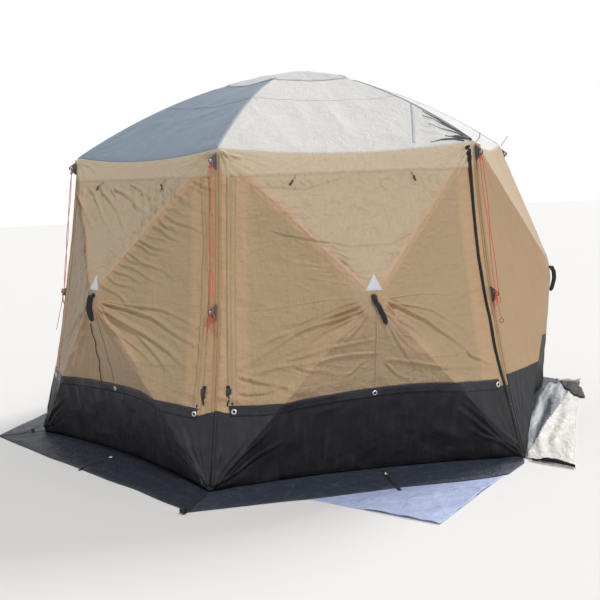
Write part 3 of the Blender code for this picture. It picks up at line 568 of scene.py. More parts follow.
def moulded_finish(name, tone, rough=0.42):
    """Moulded plastic: a fine spark-eroded grain, scuffed lighter here and there."""
    tone = tint(*tone)
    f = Finish(name, roughness=rough, Specular_IOR_Level=0.5)
    place = f.object_place()
    grain = f.noise(place, 900.0, 2.0)
    scuffs = f.step(f.noise(f.stretched(place, (3.0, 1.0, 0.6)), 55.0, 5.0, 0.7), 0.58, 0.75)
    pale = tuple(0.55 * c + 0.10 for c in tone)
    colour = f.blend(f.times(scuffs, 0.35), tone, pale)
    f.bump((grain, 0.00015), (scuffs, 0.0001))
    return f.done(colour, f.fit(scuffs, 0.2, rough))


def rod_finish(name):
    """Pultruded fibreglass: glossy, with glass strands along the rod."""
    f = Finish(name, roughness=0.28, Coat_Weight=0.3, Coat_Roughness=0.15)
    place = f.object_place()
    strands = f.noise(f.stretched(place, (1.0, 1.0, 0.25)), 260.0, 3.0, 0.6)
    colour = f.blend(f.step(strands, 0.35, 0.7), tint(36, 38, 40), tint(64, 67, 70))
    f.bump((strands, 0.0001))
    return f.done(colour, f.fit(strands, 0.2, 0.2))


def metal_finish(name):
    """Nickel-plated steel with a brushed grain and dull spots."""
    f = Finish(name, roughness=0.3, Metallic=1.0)
    place = f.object_place()
    dull = f.noise(place, 120.0, 4.0, 0.6)
    colour = f.shade((0.62, 0.62, 0.60), dull, 0.12)
    f.bump((f.noise(f.stretched(place, (1.0, 1.0, 9.0)), 300.0, 2.0), 0.00008))
    return f.done(colour, f.fit(dull, 0.3, 0.15))


def cord_finish(name):
    """Braided orange cord: strands that wind both ways round it, with a pale tracer."""
    f = Finish(name, roughness=0.7, Sheen_Weight=0.2)
    place = f.object_place()
    one = f.bands(f.stretched(place, (1.0, 1.0, 1.0), 0.7), 160.0, "DIAGONAL")
    two = f.bands(f.stretched(place, (-1.0, 1.0, 1.0), -0.7), 160.0, "DIAGONAL")
    braid = f.math("MAXIMUM", one, two)
    tracer = f.step(f.times(one, two), 0.72, 0.9)
    colour = f.blend(f.step(braid, 0.3, 0.9), tint(196, 66, 36), tint(238, 104, 62))
    colour = f.blend(f.times(tracer, 0.5), colour, tint(236, 214, 196))
    f.bump((braid, 0.0006))
    return f.done(colour)


def reflective_finish(name):
    """Silver retro-reflective tape: a honeycomb of cells under a clear film."""
    f = Finish(name, roughness=0.35, Coat_Weight=0.4, Coat_Roughness=0.1)
    place = f.object_place()
    cell = f.cells(place, 320.0)
    colour = f.blend(f.step(cell, 0.2, 0.8), tint(226, 228, 232), tint(198, 202, 208))
    colour = f.shade(colour, f.noise(place, 30.0, 3.0), 0.05)
    f.bump((cell, 0.0002))
    return f.done(colour)


FINISHES = {
    "panelled_wall": wall_finish("tan_wall_cloth", True),
    # The left wall, with painted shade on its left side
    "left_wall": wall_finish("tan_wall_cloth_in_painted_shade", True, 0.38),
    "plain_wall": wall_finish("tan_plain_cloth", False),
    "skirt": skirt_finish("black_skirt_cloth"),
    "flap": coated_finish("slate_flap_cloth", (56, 62, 74), (104, 110, 120), 0.46, 0.010),
    "silver_flap": coated_finish(
        "silver_flap_cloth", (220, 219, 216), (242, 241, 238), 0.5, 0.010, (140, 134, 126)
    ),
    "two_tone_flap": two_tone_flap_finish("slate_and_silver_flap_cloth"),
    # The left flap: the front flap's cloth painted darker, as in shade
    "left_flap_painted_shade": coated_finish("left_flap_cloth_in_painted_shade", (42, 46, 56), (82, 88, 98), 0.5, 0.010),
    "flap_black": coated_finish("black_flap_underside", (30, 29, 32), (48, 47, 50), 0.6, 0.004),
    # Dark cloth painted as the shadows in the roof's folds
    "fold_shadow": coated_finish("painted_fold_shadow_cloth", (70, 74, 82), (110, 114, 122), 0.55, 0.002),
    # Grey painted as the shadow of a strap inside, seen through the roof cloth
    "painted_roof_strap_shadow": coated_finish("grey_painted_strap_shadow_cloth", (184, 188, 194), (204, 208, 212), 0.55, 0.001),
    # One roof cloth twice: painted slate as it looks in shade, and pale as it looks in sunlit glare
    "roof_painted_shade": coated_finish("roof_cloth_painted_shade", (132, 148, 163), (168, 180, 190), 0.5, 0.006, veins=0.10),
    "roof_painted_glare": coated_finish("roof_cloth_painted_glare", (222, 221, 218), (238, 238, 236), 0.55, 0.010, veins=0.10),
    "crown": coated_finish("crown_patch_cloth", (208, 210, 214), (230, 232, 236), 0.5, 0.006, veins=0.10),
    # The ground sheet: a pale film painted lilac blue, as it looks in shade
    "sheet": coated_finish("pale_sheet_film_painted_blue_shade", (192, 205, 243), (228, 234, 250), 0.38, 0.012),
    "hem": coated_finish("dark_hem_cloth", (48, 49, 54), (70, 71, 76), 0.40, 0.004),
    "tape": coated_finish("tan_seam_tape", (188, 161, 127), (204, 180, 148), 0.55, 0.002),
    "corner_tape": coated_finish("corner_seam_tape", (180, 149, 114), (194, 165, 130), 0.6, 0.001),
    "roof_tape": coated_finish("roof_seam_tape", (176, 184, 190), (206, 212, 216), 0.5, 0.001),
    "webbing": webbing_finish("black_webbing", (24, 24, 25), (52, 52, 54)),
    "black_tape": webbing_finish("black_zip_tape", (20, 19, 20), (40, 39, 40)),
    "patch": webbing_finish("grey_tab_cloth", (84, 88, 92), (124, 128, 132)),
    "tan_webbing": webbing_finish("tan_toggle_webbing", (150, 118, 92), (186, 156, 126)),
    "plastic": moulded_finish("black_moulded_plastic", (40, 40, 42)),
    "hub_plastic": moulded_finish("black_hub_plastic", (34, 34, 36), 0.38),
    "rod": rod_finish("fibreglass_rod_finish"),
    "metal": metal_finish("nickel_eyelet_metal"),
    "cord": cord_finish("orange_braided_cord"),
    "reflective": reflective_finish("silver_reflective_tape"),
    "toggle": moulded_finish("brown_toggle_wood", (74, 50, 38), 0.5),
    "roof_thread": webbing_finish("pale_sewing_thread", (196, 198, 200), (216, 217, 218)),
    "thread": webbing_finish("sewing_thread", (150, 126, 98), (186, 164, 132)),
}


# ---- Meshes


def linked(name, data):
    """A new object of this data, in the scene."""
    obj = bpy.data.objects.new(name, data)
    bpy.context.collection.objects.link(obj)
    return obj


def dress(obj, node, slot):
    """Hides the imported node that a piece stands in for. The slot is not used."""
    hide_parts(node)
    return obj


def bisect(bm, place, facing, **settings):
    everything = bm.verts[:] + bm.edges[:] + bm.faces[:]
    bmesh.ops.bisect_plane(bm, geom=everything, plane_co=place, plane_no=facing, **settings)


def piece_from(name, points, faces, finishes, places=None, thick=None):
    """A smooth-shaded piece in the tent's axes, with cloth coordinates, and a thickness behind it."""
    mesh = bpy.data.meshes.new(name)
    mesh.from_pydata([tuple(p) for p in np.asarray(points, float)], [], [tuple(f) for f in faces])
    for key in finishes:
        mesh.materials.append(FINISHES[key])
    if places is not None:
        layer = mesh.uv_layers.new(name="cloth")
        index = np.empty(len(mesh.loops), np.int32)
        mesh.loops.foreach_get("vertex_index", index)
        layer.data.foreach_set("uv", np.asarray(places, np.float32)[index].ravel())
    mesh.polygons.foreach_set("use_smooth", np.ones(len(mesh.polygons), bool))
    mesh.update()
    obj = linked(name, mesh)
    if thick:
        skin = obj.modifiers.new("thickness", "SOLIDIFY")
        skin.thickness = thick
        skin.offset = -1.0
    return obj


def grid_faces(rows, columns, start=0):
    """Faces of a grid of points, its rows one after the other."""
    i, j = np.meshgrid(np.arange(rows - 1), np.arange(columns - 1), indexing="ij")
    low = (start + i * columns + j).ravel()
    return np.stack([low, low + 1, low + columns + 1, low + columns], -1)


def gridded(rows, columns, at):
    """Points, cloth coordinates and faces of a grid, from a function of the shares down and across it."""
    pairs = [at(s, t) for s in np.linspace(0.0, 1.0, rows) for t in np.linspace(0.0, 1.0, columns)]
    return *zip(*pairs), grid_faces(rows, columns)


def between(corners, s, t):
    """The spot at two shares of a shape with four corners."""
    a, b, c, d = (np.array(p, float) for p in corners)
    return (a * (1 - t) + b * t) * (1 - s) + (d * (1 - t) + c * t) * s


def positions(mesh):
    place = np.empty(len(mesh.vertices) * 3)
    mesh.vertices.foreach_get("co", place)
    return place.reshape(-1, 3)


def corners_of(mesh):
    return [tuple(face.vertices) for face in mesh.polygons]


def face_area(points, faces):
    a, b, c, d = (np.asarray(points)[np.asarray(faces)[:, k]] for k in range(4))
    first = np.linalg.norm(np.cross(b - a, c - a), axis=1)
    return float((first + np.linalg.norm(np.cross(c - a, d - a), axis=1)).sum() / 2)


# ---- Walls


def edge_points(sector, share):
    """Points along one edge of a wall, clockwise from its upper left corner, in its own axes."""
    share = np.asarray(share, float)
    if sector == "top":
        u = EAVE_HALF * (2 * share - 1)
        return np.stack([u, EAVE_HEIGHT - EAVE_SAG * arc_share(share), 0 * u + EAVE_APOTHEM], -1)
    if sector == "bottom":
        u = BASE_HALF * (1 - 2 * share)
        return np.stack([u, 0 * u + FLAP_TOP, BASE_APOTHEM - BASE_DRAW * arc_share(share)], -1)
    down = share if sector == "right" else 1 - share
    height = EAVE_HEIGHT + (FLAP_TOP - EAVE_HEIGHT) * down
    radius = edge_radius(height)
    side = 1 if sector == "right" else -1
    return np.stack([side * radius * sin(HALF_TURN), height, radius * APOTHEM_SHARE], -1)


def hub_ring(edge, radius):
    """The point of a ring round the hub that lies towards each edge point."""
    lie = np.stack([edge[:, 0], (edge - HUB_POINT) @ UPHILL], -1)
    lie /= np.linalg.norm(lie, axis=1)[:, None]
    return HUB_POINT + radius * (lie[:, :1] * [1.0, 0.0, 0.0] + lie[:, 1:] * UPHILL)


def smooth_sector(sector, columns, rows):
    """A wall sector as straight rulings from its edge to the hub, in the wall's own axes."""
    share = np.linspace(0, 1, columns)
    edge = edge_points(sector, share)
    ring = hub_ring(edge, CROWN_RADIUS)
    hole = hub_ring(edge, HOLE_RADIUS)

    def sunk(point, belly=0.0):
        """The points moved in by the cloth's slack, and where it bends over the hub's rim."""
        gap = np.linalg.norm(ring - point, axis=1)
        inward = belly + np.clip(BEND_LENGTH - gap, 0, None) ** 2 / (4 * BEND_LENGTH) * BEND_DEPTH
        return point - inward[:, None] * FACING

    points = [
        sunk(edge + (ring - edge) * along, BELLY * arc_share(along) * arc_share(share))
        for along in np.linspace(0, 1, rows)
    ]
    points += [sunk(ring + (hole - ring) * along) for along in np.linspace(0, 1, BEND_ROWS)[1:]]
    return np.concatenate(points), rows + BEND_ROWS - 1


def smooth_route(route, cuts=8):
    """Points along a smooth curve through the chosen ones."""
    points = [Vector(point) for point in route]
    ends = [points[0] * 2 - points[1], *points, points[-1] * 2 - points[-2]]
    fine = []
    for a, b, c, d in zip(ends, ends[1:], ends[2:], ends[3:]):
        for i in range(cuts):
            t = i / cuts
            bend = (a * 2 - b * 5 + c * 4 - d) * t**2 + (b * 3 - a - c * 3 + d) * t**3
            fine.append((b * 2 + (c - a) * t + bend) / 2)
    fine.append(points[-1])
    return fine


def smooth_line(line, cuts=8):
    """The same through pairs, such as (u, z)."""
    return [tuple(p)[:2] for p in smooth_route([(u, z, 0.0) for u, z in line], cuts)]


# Where the tan cloth meets the black skirt, as points of (u, z) across a wall
HEM_LINES = {
    1: (
        (-0.88, 0.402), (-0.80, 0.402), (-0.72, 0.392), (-0.39, 0.418), (0.01, 0.440), (0.37, 0.447),
        (0.75, 0.408), (0.88, 0.398),
    ),
    2: (
        (-0.88, 0.458), (-0.57, 0.458), (-0.20, 0.485), (0.00, 0.495), (0.20, 0.488), (0.57, 0.462),
        (0.88, 0.450),
    ),
    6: (
        (-0.88, 0.385), (-0.75, 0.388), (-0.42, 0.402), (-0.12, 0.410), (0.25, 0.420), (0.50, 0.401),
        (0.72, 0.374), (0.80, 0.392), (0.88, 0.402),
    ),
}
PLAIN_HEM = ((-0.88, 0.400), (-0.45, 0.435), (0.00, 0.450), (0.45, 0.438), (0.88, 0.405))
HEMS = {number: np.array(smooth_line(HEM_LINES.get(number, PLAIN_HEM))) for number in WALLS}


def hem_height(number, u):
    """Height of the seam between the tan cloth and the black skirt."""
    return np.interp(u, *HEMS[number].T)


# Folds read off the picture, as paths of (u, z) with a width and a height
FRONT_FOLDS = [
    (((-0.01, 0.95), (-0.292, 0.85), (-0.60, 0.72)), 0.010, 0.0085),
    (((-0.02, 0.93), (-0.347, 0.806), (-0.70, 0.615)), 0.011, 0.0105),
    (((-0.03, 0.91), (-0.24, 0.80), (-0.50, 0.655)), 0.010, 0.0060),
    (((0.025, 0.755), (-0.232, 0.713), (-0.455, 0.655), (-0.66, 0.575)), 0.011, 0.0080),
    (((0.06, 0.668), (-0.20, 0.662), (-0.465, 0.633), (-0.70, 0.56)), 0.011, 0.0095),
    (((-0.413, 0.627), (-0.195, 0.568)), 0.009, 0.0060),
    (((-0.148, 0.554), (-0.004, 0.648)), 0.009, 0.0050),
    (((0.03, 0.955), (0.307, 0.827), (0.66, 0.545)), 0.010, 0.0105),
    (((0.05, 0.94), (0.36, 0.86), (0.64, 0.70)), 0.008, 0.0050),
    (((0.045, 0.625), (0.339, 0.582), (0.72, 0.50)), 0.010, 0.0085),
    (((0.05, 0.93), (0.234, 0.761)), 0.009, 0.0060),
    (((0.055, 0.614), (0.222, 0.484)), 0.010, 0.0050),
    (((-0.156, 0.745), (-0.023, 0.895)), 0.010, 0.0060),
    (((-0.657, 0.904), (-0.061, 0.972)), 0.006, 0.0030),
    (((0.069, 0.961), (0.69, 0.924)), 0.006, 0.0030),
    (((-0.70, 0.57), (-0.52, 0.545), (-0.36, 0.47)), 0.013, 0.0090),
    (((-0.70, 0.50), (-0.56, 0.49), (-0.42, 0.555)), 0.012, 0.0080),
    (((-0.499, 1.33), (-0.296, 1.272), (-0.087, 1.22), (0.134, 1.232), (0.33, 1.32)), 0.007, 0.0055),
    (((-0.60, 1.54), (-0.284, 1.531), (0.008, 1.593)), 0.007, 0.0050),
    (((0.56, 0.62), (0.66, 0.55), (0.73, 0.53)), 0.010, 0.0070),
]
LEFT_FOLDS = [
    (((0.02, 0.95), (0.32, 0.80), (0.66, 0.60)), 0.013, 0.0125),
    (((0.03, 0.93), (0.318, 0.78), (0.56, 0.56)), 0.012, 0.0095),
    (((0.04, 0.95), (0.40, 0.862), (0.73, 0.70)), 0.012, 0.0110),
    (((0.05, 0.92), (0.207, 0.77), (0.40, 0.54)), 0.011, 0.0080),
    (((0.09, 0.95), (0.45, 0.90), (0.72, 0.82)), 0.010, 0.0070),
    (((-0.347, 1.229), (0.0, 0.99)), 0.010, 0.0070),
    (((-0.633, 1.589), (-0.198, 1.307)), 0.012, 0.0080),
    (((-0.60, 1.55), (-0.30, 1.24)), 0.011, 0.0070),
    (((-0.335, 1.578), (0.159, 1.301)), 0.012, 0.0080),
    (((-0.20, 1.569), (0.367, 1.386)), 0.012, 0.0075),
    (((-0.45, 1.57), (-0.02, 1.30)), 0.012, 0.0075),
    (((-0.05, 1.575), (0.44, 1.47)), 0.010, 0.0060),
    (((-0.03, 0.92), (-0.30, 0.80), (-0.60, 0.60)), 0.011, 0.0080),
    (((-0.05, 0.90), (-0.20, 0.70), (-0.45, 0.50)), 0.010, 0.0070),
]


HUB_FOOT = (0.0, HUB_Z - 0.04)
HUB_LOW = (0.0, HUB_Z - 0.05)
# Fans and combs of folds, each with what it adds to its wall's seed: those at every wall's corners first
CORNER_FOLDS = [
    (fan, (-EAVE_HALF + 0.01, EAVE_HEIGHT - 0.01), 283, 356, 8, 0.34, 0.009, 0.0062, 5),
    (fan, (EAVE_HALF - 0.01, EAVE_HEIGHT - 0.01), 184, 257, 8, 0.34, 0.009, 0.0062, 6),
    (fan, (-BASE_HALF + 0.02, 0.03), 22, 84, 7, 0.50, 0.010, 0.0075, 7),
    (fan, (BASE_HALF - 0.02, 0.03), 96, 158, 7, 0.50, 0.010, 0.0075, 8),
]
PLAIN_FOLDS = [(fan, (0.0, HUB_Z), 200, 340, 9, 0.45, 0.010, 0.0030, 9)]
PANEL_FOLDS = [
    (fan, HUB_LOW, 198, 262, 9, 0.66, 0.010, 0.0075, 0),
    (fan, HUB_LOW, 278, 342, 9, 0.66, 0.010, 0.0075, 1),
    (comb, (0.06, HUB_Z + 0.06), (0.62, 1.62), 14, -30, 0.26, 0.009, 0.0062, 2),
    (comb, (-0.06, HUB_Z + 0.06), (-0.62, 1.62), 14, 210, 0.24, 0.009, 0.0058, 3),
]
OWN_FOLDS = {
    1: [
        (fan, HUB_FOOT, 200, 250, 5, 0.50, 0.009, 0.0045, 0),
        (fan, HUB_FOOT, 290, 338, 6, 0.50, 0.009, 0.0045, 1),
        (comb, (-0.50, 1.50), (-0.06, 1.06), 13, -14, 0.17, 0.008, 0.0048, 2),
        (comb, (0.55, 1.55), (0.06, 1.06), 12, 200, 0.14, 0.008, 0.0045, 3),
        (comb, (-0.10, 1.03), (-0.50, 1.42), 12, 184, 0.22, 0.009, 0.0034, 4),
        (comb, (0.10, 1.03), (0.50, 1.42), 10, -8, 0.16, 0.009, 0.0030, 10),
        (comb, (-0.60, 1.57), (0.60, 1.57), 22, -68, 0.12, 0.008, 0.0042, 11),
    ],
    2: PLAIN_FOLDS,
    4: PLAIN_FOLDS,
    6: [
        (comb, (0.04, 1.03), (0.60, 1.60), 17, -24, 0.34, 0.0095, 0.0085, 0),
        (comb, (0.00, 1.06), (0.50, 1.56), 15, 150, 0.16, 0.008, 0.0060, 1),
        (comb, (-0.03, 1.02), (-0.58, 1.60), 14, 212, 0.20, 0.009, 0.0050, 2),
        (comb, (-0.60, 1.56), (0.50, 1.56), 16, -42, 0.26, 0.011, 0.0070, 3),
        (fan, HUB_FOOT, 300, 344, 6, 0.62, 0.010, 0.0080, 4),
        (fan, HUB_FOOT, 198, 250, 7, 0.60, 0.010, 0.0065, 9),
    ],
}
# How much stronger than the tables say a wall's folds are
FOLD_STRENGTH = {1: 1.8, 2: 1.0, 3: 1.6, 4: 1.0, 5: 1.6, 6: 1.8}


def spread(tables, seed):
    """The single folds of fans and combs."""
    return [fold for make, *numbers, shift in tables for fold in make(*numbers, seed + shift)]


def wall_folds(number):
    """The long folds of one wall, as paths of its (u, z) with a width and a height."""
    seed = float(number)
    seen = {1: FRONT_FOLDS, 6: LEFT_FOLDS}.get(number, [])
    return spread(CORNER_FOLDS, seed) + seen + spread(OWN_FOLDS.get(number, PANEL_FOLDS), seed)


def zip_line(z):
    """How far from a wall's middle its panel zips run."""
    return ZIP_ASIDE + (ZIP_HEIGHT - z) * ZIP_SPLAY


def wall_relief(number, u, z):
    """How far a wall's cloth stands out of its smooth surface."""
    seed = 10.0 * number
    hem = hem_height(number, u)
    relief = FOLD_STRENGTH[number] * fold_relief(u, z, wall_folds(number))
    if number not in PANEL_WALLS:
        soft = creases(u * 3.1 + 0.6 * z, z * 2.6 - 0.8 * u, seed) * 0.0030
        relief = relief + soft + creases(u * 11, z * 9, seed + 1) * 0.0008
    else:
        valance = smooth((z - PANEL_TOP + 0.012) / 0.014)
        upper = smooth((z - HUB_Z - np.abs(u) * (EAVE_HEIGHT - HUB_Z) / EAVE_HALF) / 0.06)
        soft = creases(u * 5.2 + 0.6 * z, z * 4.3 - 0.8 * u, seed) * 0.0065
        lively = 0.55 + 0.45 * noise(u * 2.6, z * 2.4, seed + 8)
        fine = creases(u * 12 + 5.1 * z, z * 13 - 4.9 * u, seed + 1) * (0.0034 + 0.0040 * upper) * lively
        relief = relief + (soft + fine) * (1 - 0.85 * valance)
        below = smooth((hem + 0.20 - z) / 0.14) * smooth((z - hem) / 0.02)
        pillow = creases(u * 7 - 3 * z, z * 11 + 3.2 * u, seed + 2)
        heavy = 0.45 + 0.55 * smooth((-0.15 - u) / 0.35) if number == 1 else 0.5
        relief = relief + 0.0120 * below * pillow * heavy
        relief = relief - 0.0030 * np.exp(-(((z - PANEL_TOP) / 0.005) ** 2)) + 0.003 * valance
        inner = zip_line(z) - 0.020 - np.abs(u)
        pucker = noise(u * 4, z * 33, seed + 9) * smooth((0.05 - np.abs(inner - 0.02)) / 0.03)
        outer = np.abs(u) - zip_line(z) - 0.016
        strip = noise(np.abs(u) * 60, z * 2.6, seed + 12) * smooth(outer / 0.01)
        relief = relief + (0.0022 * pucker + 0.0026 * strip) * smooth((z - hem) / 0.03) * (1 - valance)
    streaks = noise(u * 34, z * 2.2, seed + 6) * 0.0022 + creases(u * 9, z * 7, seed + 7) * 0.0050
    return relief + smooth((hem - z) / 0.03) * streaks * (0.35 if number in (2, 3, 4) else 1.0)


def corner_push(number, base):
    """The left corner is drawn in less than the others, so its two walls run further out there."""
    side = {6: -1, 5: 1}.get(number, 0)
    height = np.clip(base[:, 1] / EAVE_HEIGHT, 0, 1)
    near = smooth((side * base[:, 0] / (edge_radius(base[:, 1]) * sin(HALF_TURN)) - 0.35) / 0.65)
    push = 0.5 * CORNER_DRAW * arc_share(height) * near
    return push[:, None] * np.array([side * sin(HALF_TURN), 0.0, APOTHEM_SHARE])


def sector_blend(piece, number, sector):
    """Bakes the piece's transform into its mesh. The line from the sector's edge to its wall's hub is worked out
    but not used.
    """
    first, last = edge_points(sector, [0.0, 1.0])
    along = (last - first) / np.linalg.norm(last - first)
    foot = first + along * ((HUB_POINT - first) @ along)
    start, end = to_tent(number, [foot, HUB_POINT])
    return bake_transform(piece)


def wall_cloth(number):
    """One wall's four sectors, with the black skirt below the hem line."""
    columns, rows = (int(count * WALL_SHARES[number]) for count in WALL_GRID)
    tone = "plain_wall" if number not in PANEL_WALLS else "left_wall" if number == 6 else "panelled_wall"
    made = []
    for sector in SECTORS:
        base, count = smooth_sector(sector, columns, rows)
        faces = grid_faces(count, columns)
        edge = np.tile(edge_points(sector, np.linspace(0, 1, columns)), (count, 1))
        fade = smooth(np.linalg.norm(base - edge, axis=1) / RIM_FADE)
        fade *= smooth((np.linalg.norm(base - HUB_POINT, axis=1) - CROWN_RADIUS) / RIM_FADE)
        relief = wall_relief(number, base[:, 0], base[:, 1]) * fade
        points = to_tent(number, base + relief[:, None] * FACING + corner_push(number, base))
        name = f"wall_{number}_{sector}_cloth"
        obj = piece_from(name, points, faces[:, ::-1], (tone, "skirt"), base[:, :2], CLOTH_SKIN)
        if sector != "top":
            cut_skirt(obj, number)
        sector_blend(obj, number, sector)
        dress(obj, f"wall_panel_{number}", "wall_cloth")
        wide, tall, deep = base.max(axis=0) - base.min(axis=0)
        hypot(tall, deep)
        face_area(base, faces)
        made.append(obj)
    return made


def cut_skirt(obj, number):
    """An edge along the hem line, and the faces below it in the skirt's finish."""
    bm = bmesh.new()
    bm.from_mesh(obj.data)
    back = wall_axes(number).inverted()

    def lift(way):
        for vert in bm.verts:
            vert.co = vert.co + Vector((0.0, 0.0, way * float(hem_height(number, (back @ vert.co).x))))

    lift(-1)
    bisect(bm, (0, 0, 0), (0, 0, 1), dist=0.0008)
    for face in bm.faces:
        face.material_index = int(face.calc_center_median().z < 0)
    lift(1)
    bm.to_mesh(obj.data)
    bm.free()


# ---- Roof


def roof_line(share):
    """Radius and height of the roof's ridges, from the eave corner at 0 to the crown at 1."""
    radius = EAVE_RADIUS + (CROWN_RADIUS - EAVE_RADIUS) * share
    return radius, EAVE_HEIGHT + (PEAK_HEIGHT - EAVE_HEIGHT) * share + ROOF_ARCH * arc_share(share)


# The two left roof panels take the painted-shade copy of the roof cloth, the rest its painted-glare copy
ROOF_FINISHES = {number: "roof_painted_shade" if number in (5, 6) else "roof_painted_glare" for number in WALLS}
ROOF_RISE = 1.45
ROOF_UP = np.array([0.0, 0.92, 0.39])


def roof_relief(number, u, rise):
    """How far a roof panel stands out: crinkles all over, and folds that gather at its eave corners."""
    seed = 100.0 + number
    lines = fan((-EAVE_HALF, 0.0), 18, 74, 5, 0.55, 0.012, 0.004, seed)
    lines += fan((EAVE_HALF, 0.0), 106, 162, 5, 0.55, 0.012, 0.004, seed + 1)
    if number == 1:
        lines += fan((EAVE_HALF, 0.0), 112, 168, 7, 0.42, 0.012, 0.010, seed + 2)
    lines += fan((0.0, 1.24), 235, 305, 6, 0.5, 0.010, 0.0025, seed + 3)
    relief = fold_relief(u, rise, lines) + creases(u * 4.5 + rise, rise * 4 - u, seed) * 0.005
    return relief + creases(u * 12, rise * 11, seed + 4) * 0.002


def roof_blend(piece, number):
    """Bakes the piece's transform into its mesh. The line from the eave's middle up to the crown is worked out but
    not used.
    """
    start, end = to_tent(number, [(0.0, EAVE_HEIGHT, EAVE_APOTHEM), (0.0, PEAK_HEIGHT, 0.0)])
    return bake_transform(piece)


def roof_panel(number):
    """One of the six roof panels, a little slack between its arched ridges, and flat over the hub."""
    columns, rows = (int(count * OTHER_SHARES[number]) for count in ROOF_GRID)
    part = np.linspace(0, 1, columns)
    places, flat = [], []
    for s in np.linspace(0, 1, rows):
        radius, height = roof_line(s)
        out = radius * APOTHEM_SHARE
        z = height - EAVE_SAG * arc_share(part) * (1 - s)
        u = radius * sin(HALF_TURN) * (2 * part - 1)
        rise = hypot(EAVE_APOTHEM - out, height - EAVE_HEIGHT)
        flat.append(np.stack([u, z, 0 * u + out], -1))
        places.append(np.stack([u, 0 * u + rise], -1))
    crown = np.tile([[0.0, PEAK_HEIGHT, 0.0]], (columns, 1))
    last = flat[-1]
    for s in (0.35, 0.7, 0.995):
        flat.append(last + (crown - last) * s)
        places.append(np.stack([flat[-1][:, 0], 0 * part + places[rows - 1][0, 1] + CROWN_RADIUS * s], -1))
    base, places = np.concatenate(flat), np.concatenate(places)
    faces = grid_faces(len(flat), columns)
    u, rise = places.T
    across = np.tile(part, len(flat))
    edge = np.minimum(across, 1 - across) * 2
    fade = smooth(rise / 0.04) * (0.25 + 0.75 * smooth(edge / 0.12)) * smooth((ROOF_RISE - rise) / 0.20)
    fade[edge < 1e-6] = 0.0
    points = to_tent(number, base + (roof_relief(number, u, rise) * fade)[:, None] * ROOF_UP)
    obj = piece_from(f"roof_panel_{number}", points, faces, (ROOF_FINISHES[number],), places, CLOTH_SKIN)
    roof_blend(obj, number)
    dress(obj, "roof_canopy", "roof_cloth")
    face_area(base, faces)
    return obj


# ---- On the ground


def flap_relief(number, u, share):
    """How far a mud flap stands off the ground: crumpled, with long creases across it."""
    seed = 200.0 + number
    lumps = creases(u * 5.5 + share, share * 1.6 + u * 2.0, seed) * 0.5 + 0.5
    long = creases(u * 3.0, share * 3.2 + 0.8 * u, seed + 1)
    fine = noise(u * 26, share * 7, seed + 2) * 0.5 + 0.5
    return np.clip(0.0065 * lumps + 0.0045 * np.clip(long, 0, 1) + 0.0018 * fine, 0, None)


# The left flap takes the painted-shade copy of the flap cloth
FLAP_FINISHES = {2: "two_tone_flap", 6: "left_flap_painted_shade"}
# The front flap's slanting right end: shares along it, and how much is off its width there
FRONT_FLAP_CUT = ((0.70, 0.80, 0.833, 0.955, 1.0), (0.0, 0.018, 0.028, 0.174, 0.266))
# The silver flap's long folds: share of its width that each lies at, its width and its height
SILVER_FLAP_RIDGES = ((0.18, 0.09, 0.036), (0.46, 0.11, 0.030), (0.72, 0.08, 0.012))


def mud_flap(number):
    """The flap that lies on the ground outside one wall."""
    columns, rows = (int(count * OTHER_SHARES[number]) for count in FLAP_GRID)
    across = np.linspace(0, 1, columns)
    inner = edge_points("bottom", 1 - across)
    far = BASE_APOTHEM + FLAP_WIDTH
    wave = 0.006 * noise(across * 9, 0 * across + number, 50.0 + number)
    cut = far - 0.004 + wave
    if number == 1:
        cut = cut - np.interp(across, *FRONT_FLAP_CUT)
    if number in (1, 6):
        cut = cut + 0.012 * noise(across * 4, 0 * across, 70.0 + number) - 0.010
    end = cut * tan(HALF_TURN)
    outer = np.stack([end * (2 * across - 1), 0 * across + 0.0026, cut], -1)
    base = np.concatenate([inner + (outer - inner) * s for s in np.linspace(0, 1, rows)])
    along = np.repeat(np.linspace(0, 1, rows), columns)
    u = base[:, 0]
    lift = flap_relief(number, u, along)
    if number == 2:
        drift = 0.10 * noise(u * 1.7, 0 * along, 262.0)
        for middle, wide, high in SILVER_FLAP_RIDGES:
            ridge = np.exp(-(((along - middle - drift) / wide) ** 2)) * smooth((u + 0.95) / 0.4)
            lift = lift + high * ridge * (0.8 + 0.3 * noise(u * 5, along * 2, 263.0))
        tufts = creases(u * 13, along * 4 + u * 5, 264.0)
        lift = lift + 0.0050 * np.clip(tufts, 0, 1) * smooth((along - 0.3) / 0.2)
    lift = lift * smooth(along / 0.10) * (1 - 0.6 * smooth((along - 0.9) / 0.1))
    side = np.minimum(across, 1 - across)
    lift = lift * np.tile(0.3 + 0.7 * smooth(side / 0.03), rows)
    points = to_tent(number, base + lift[:, None] * [0.0, 1.0, 0.0])
    faces = grid_faces(rows, columns)
    tone = FLAP_FINISHES.get(number, "flap")
    obj = piece_from(f"mud_flap_{number}", points, faces[:, ::-1], (tone,), base[:, [0, 2]], CLOTH_SKIN)
    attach(obj, "shell")
    dress(obj, f"wall_panel_{number}", "wall_cloth")
    area = face_area(base, faces)
    return obj


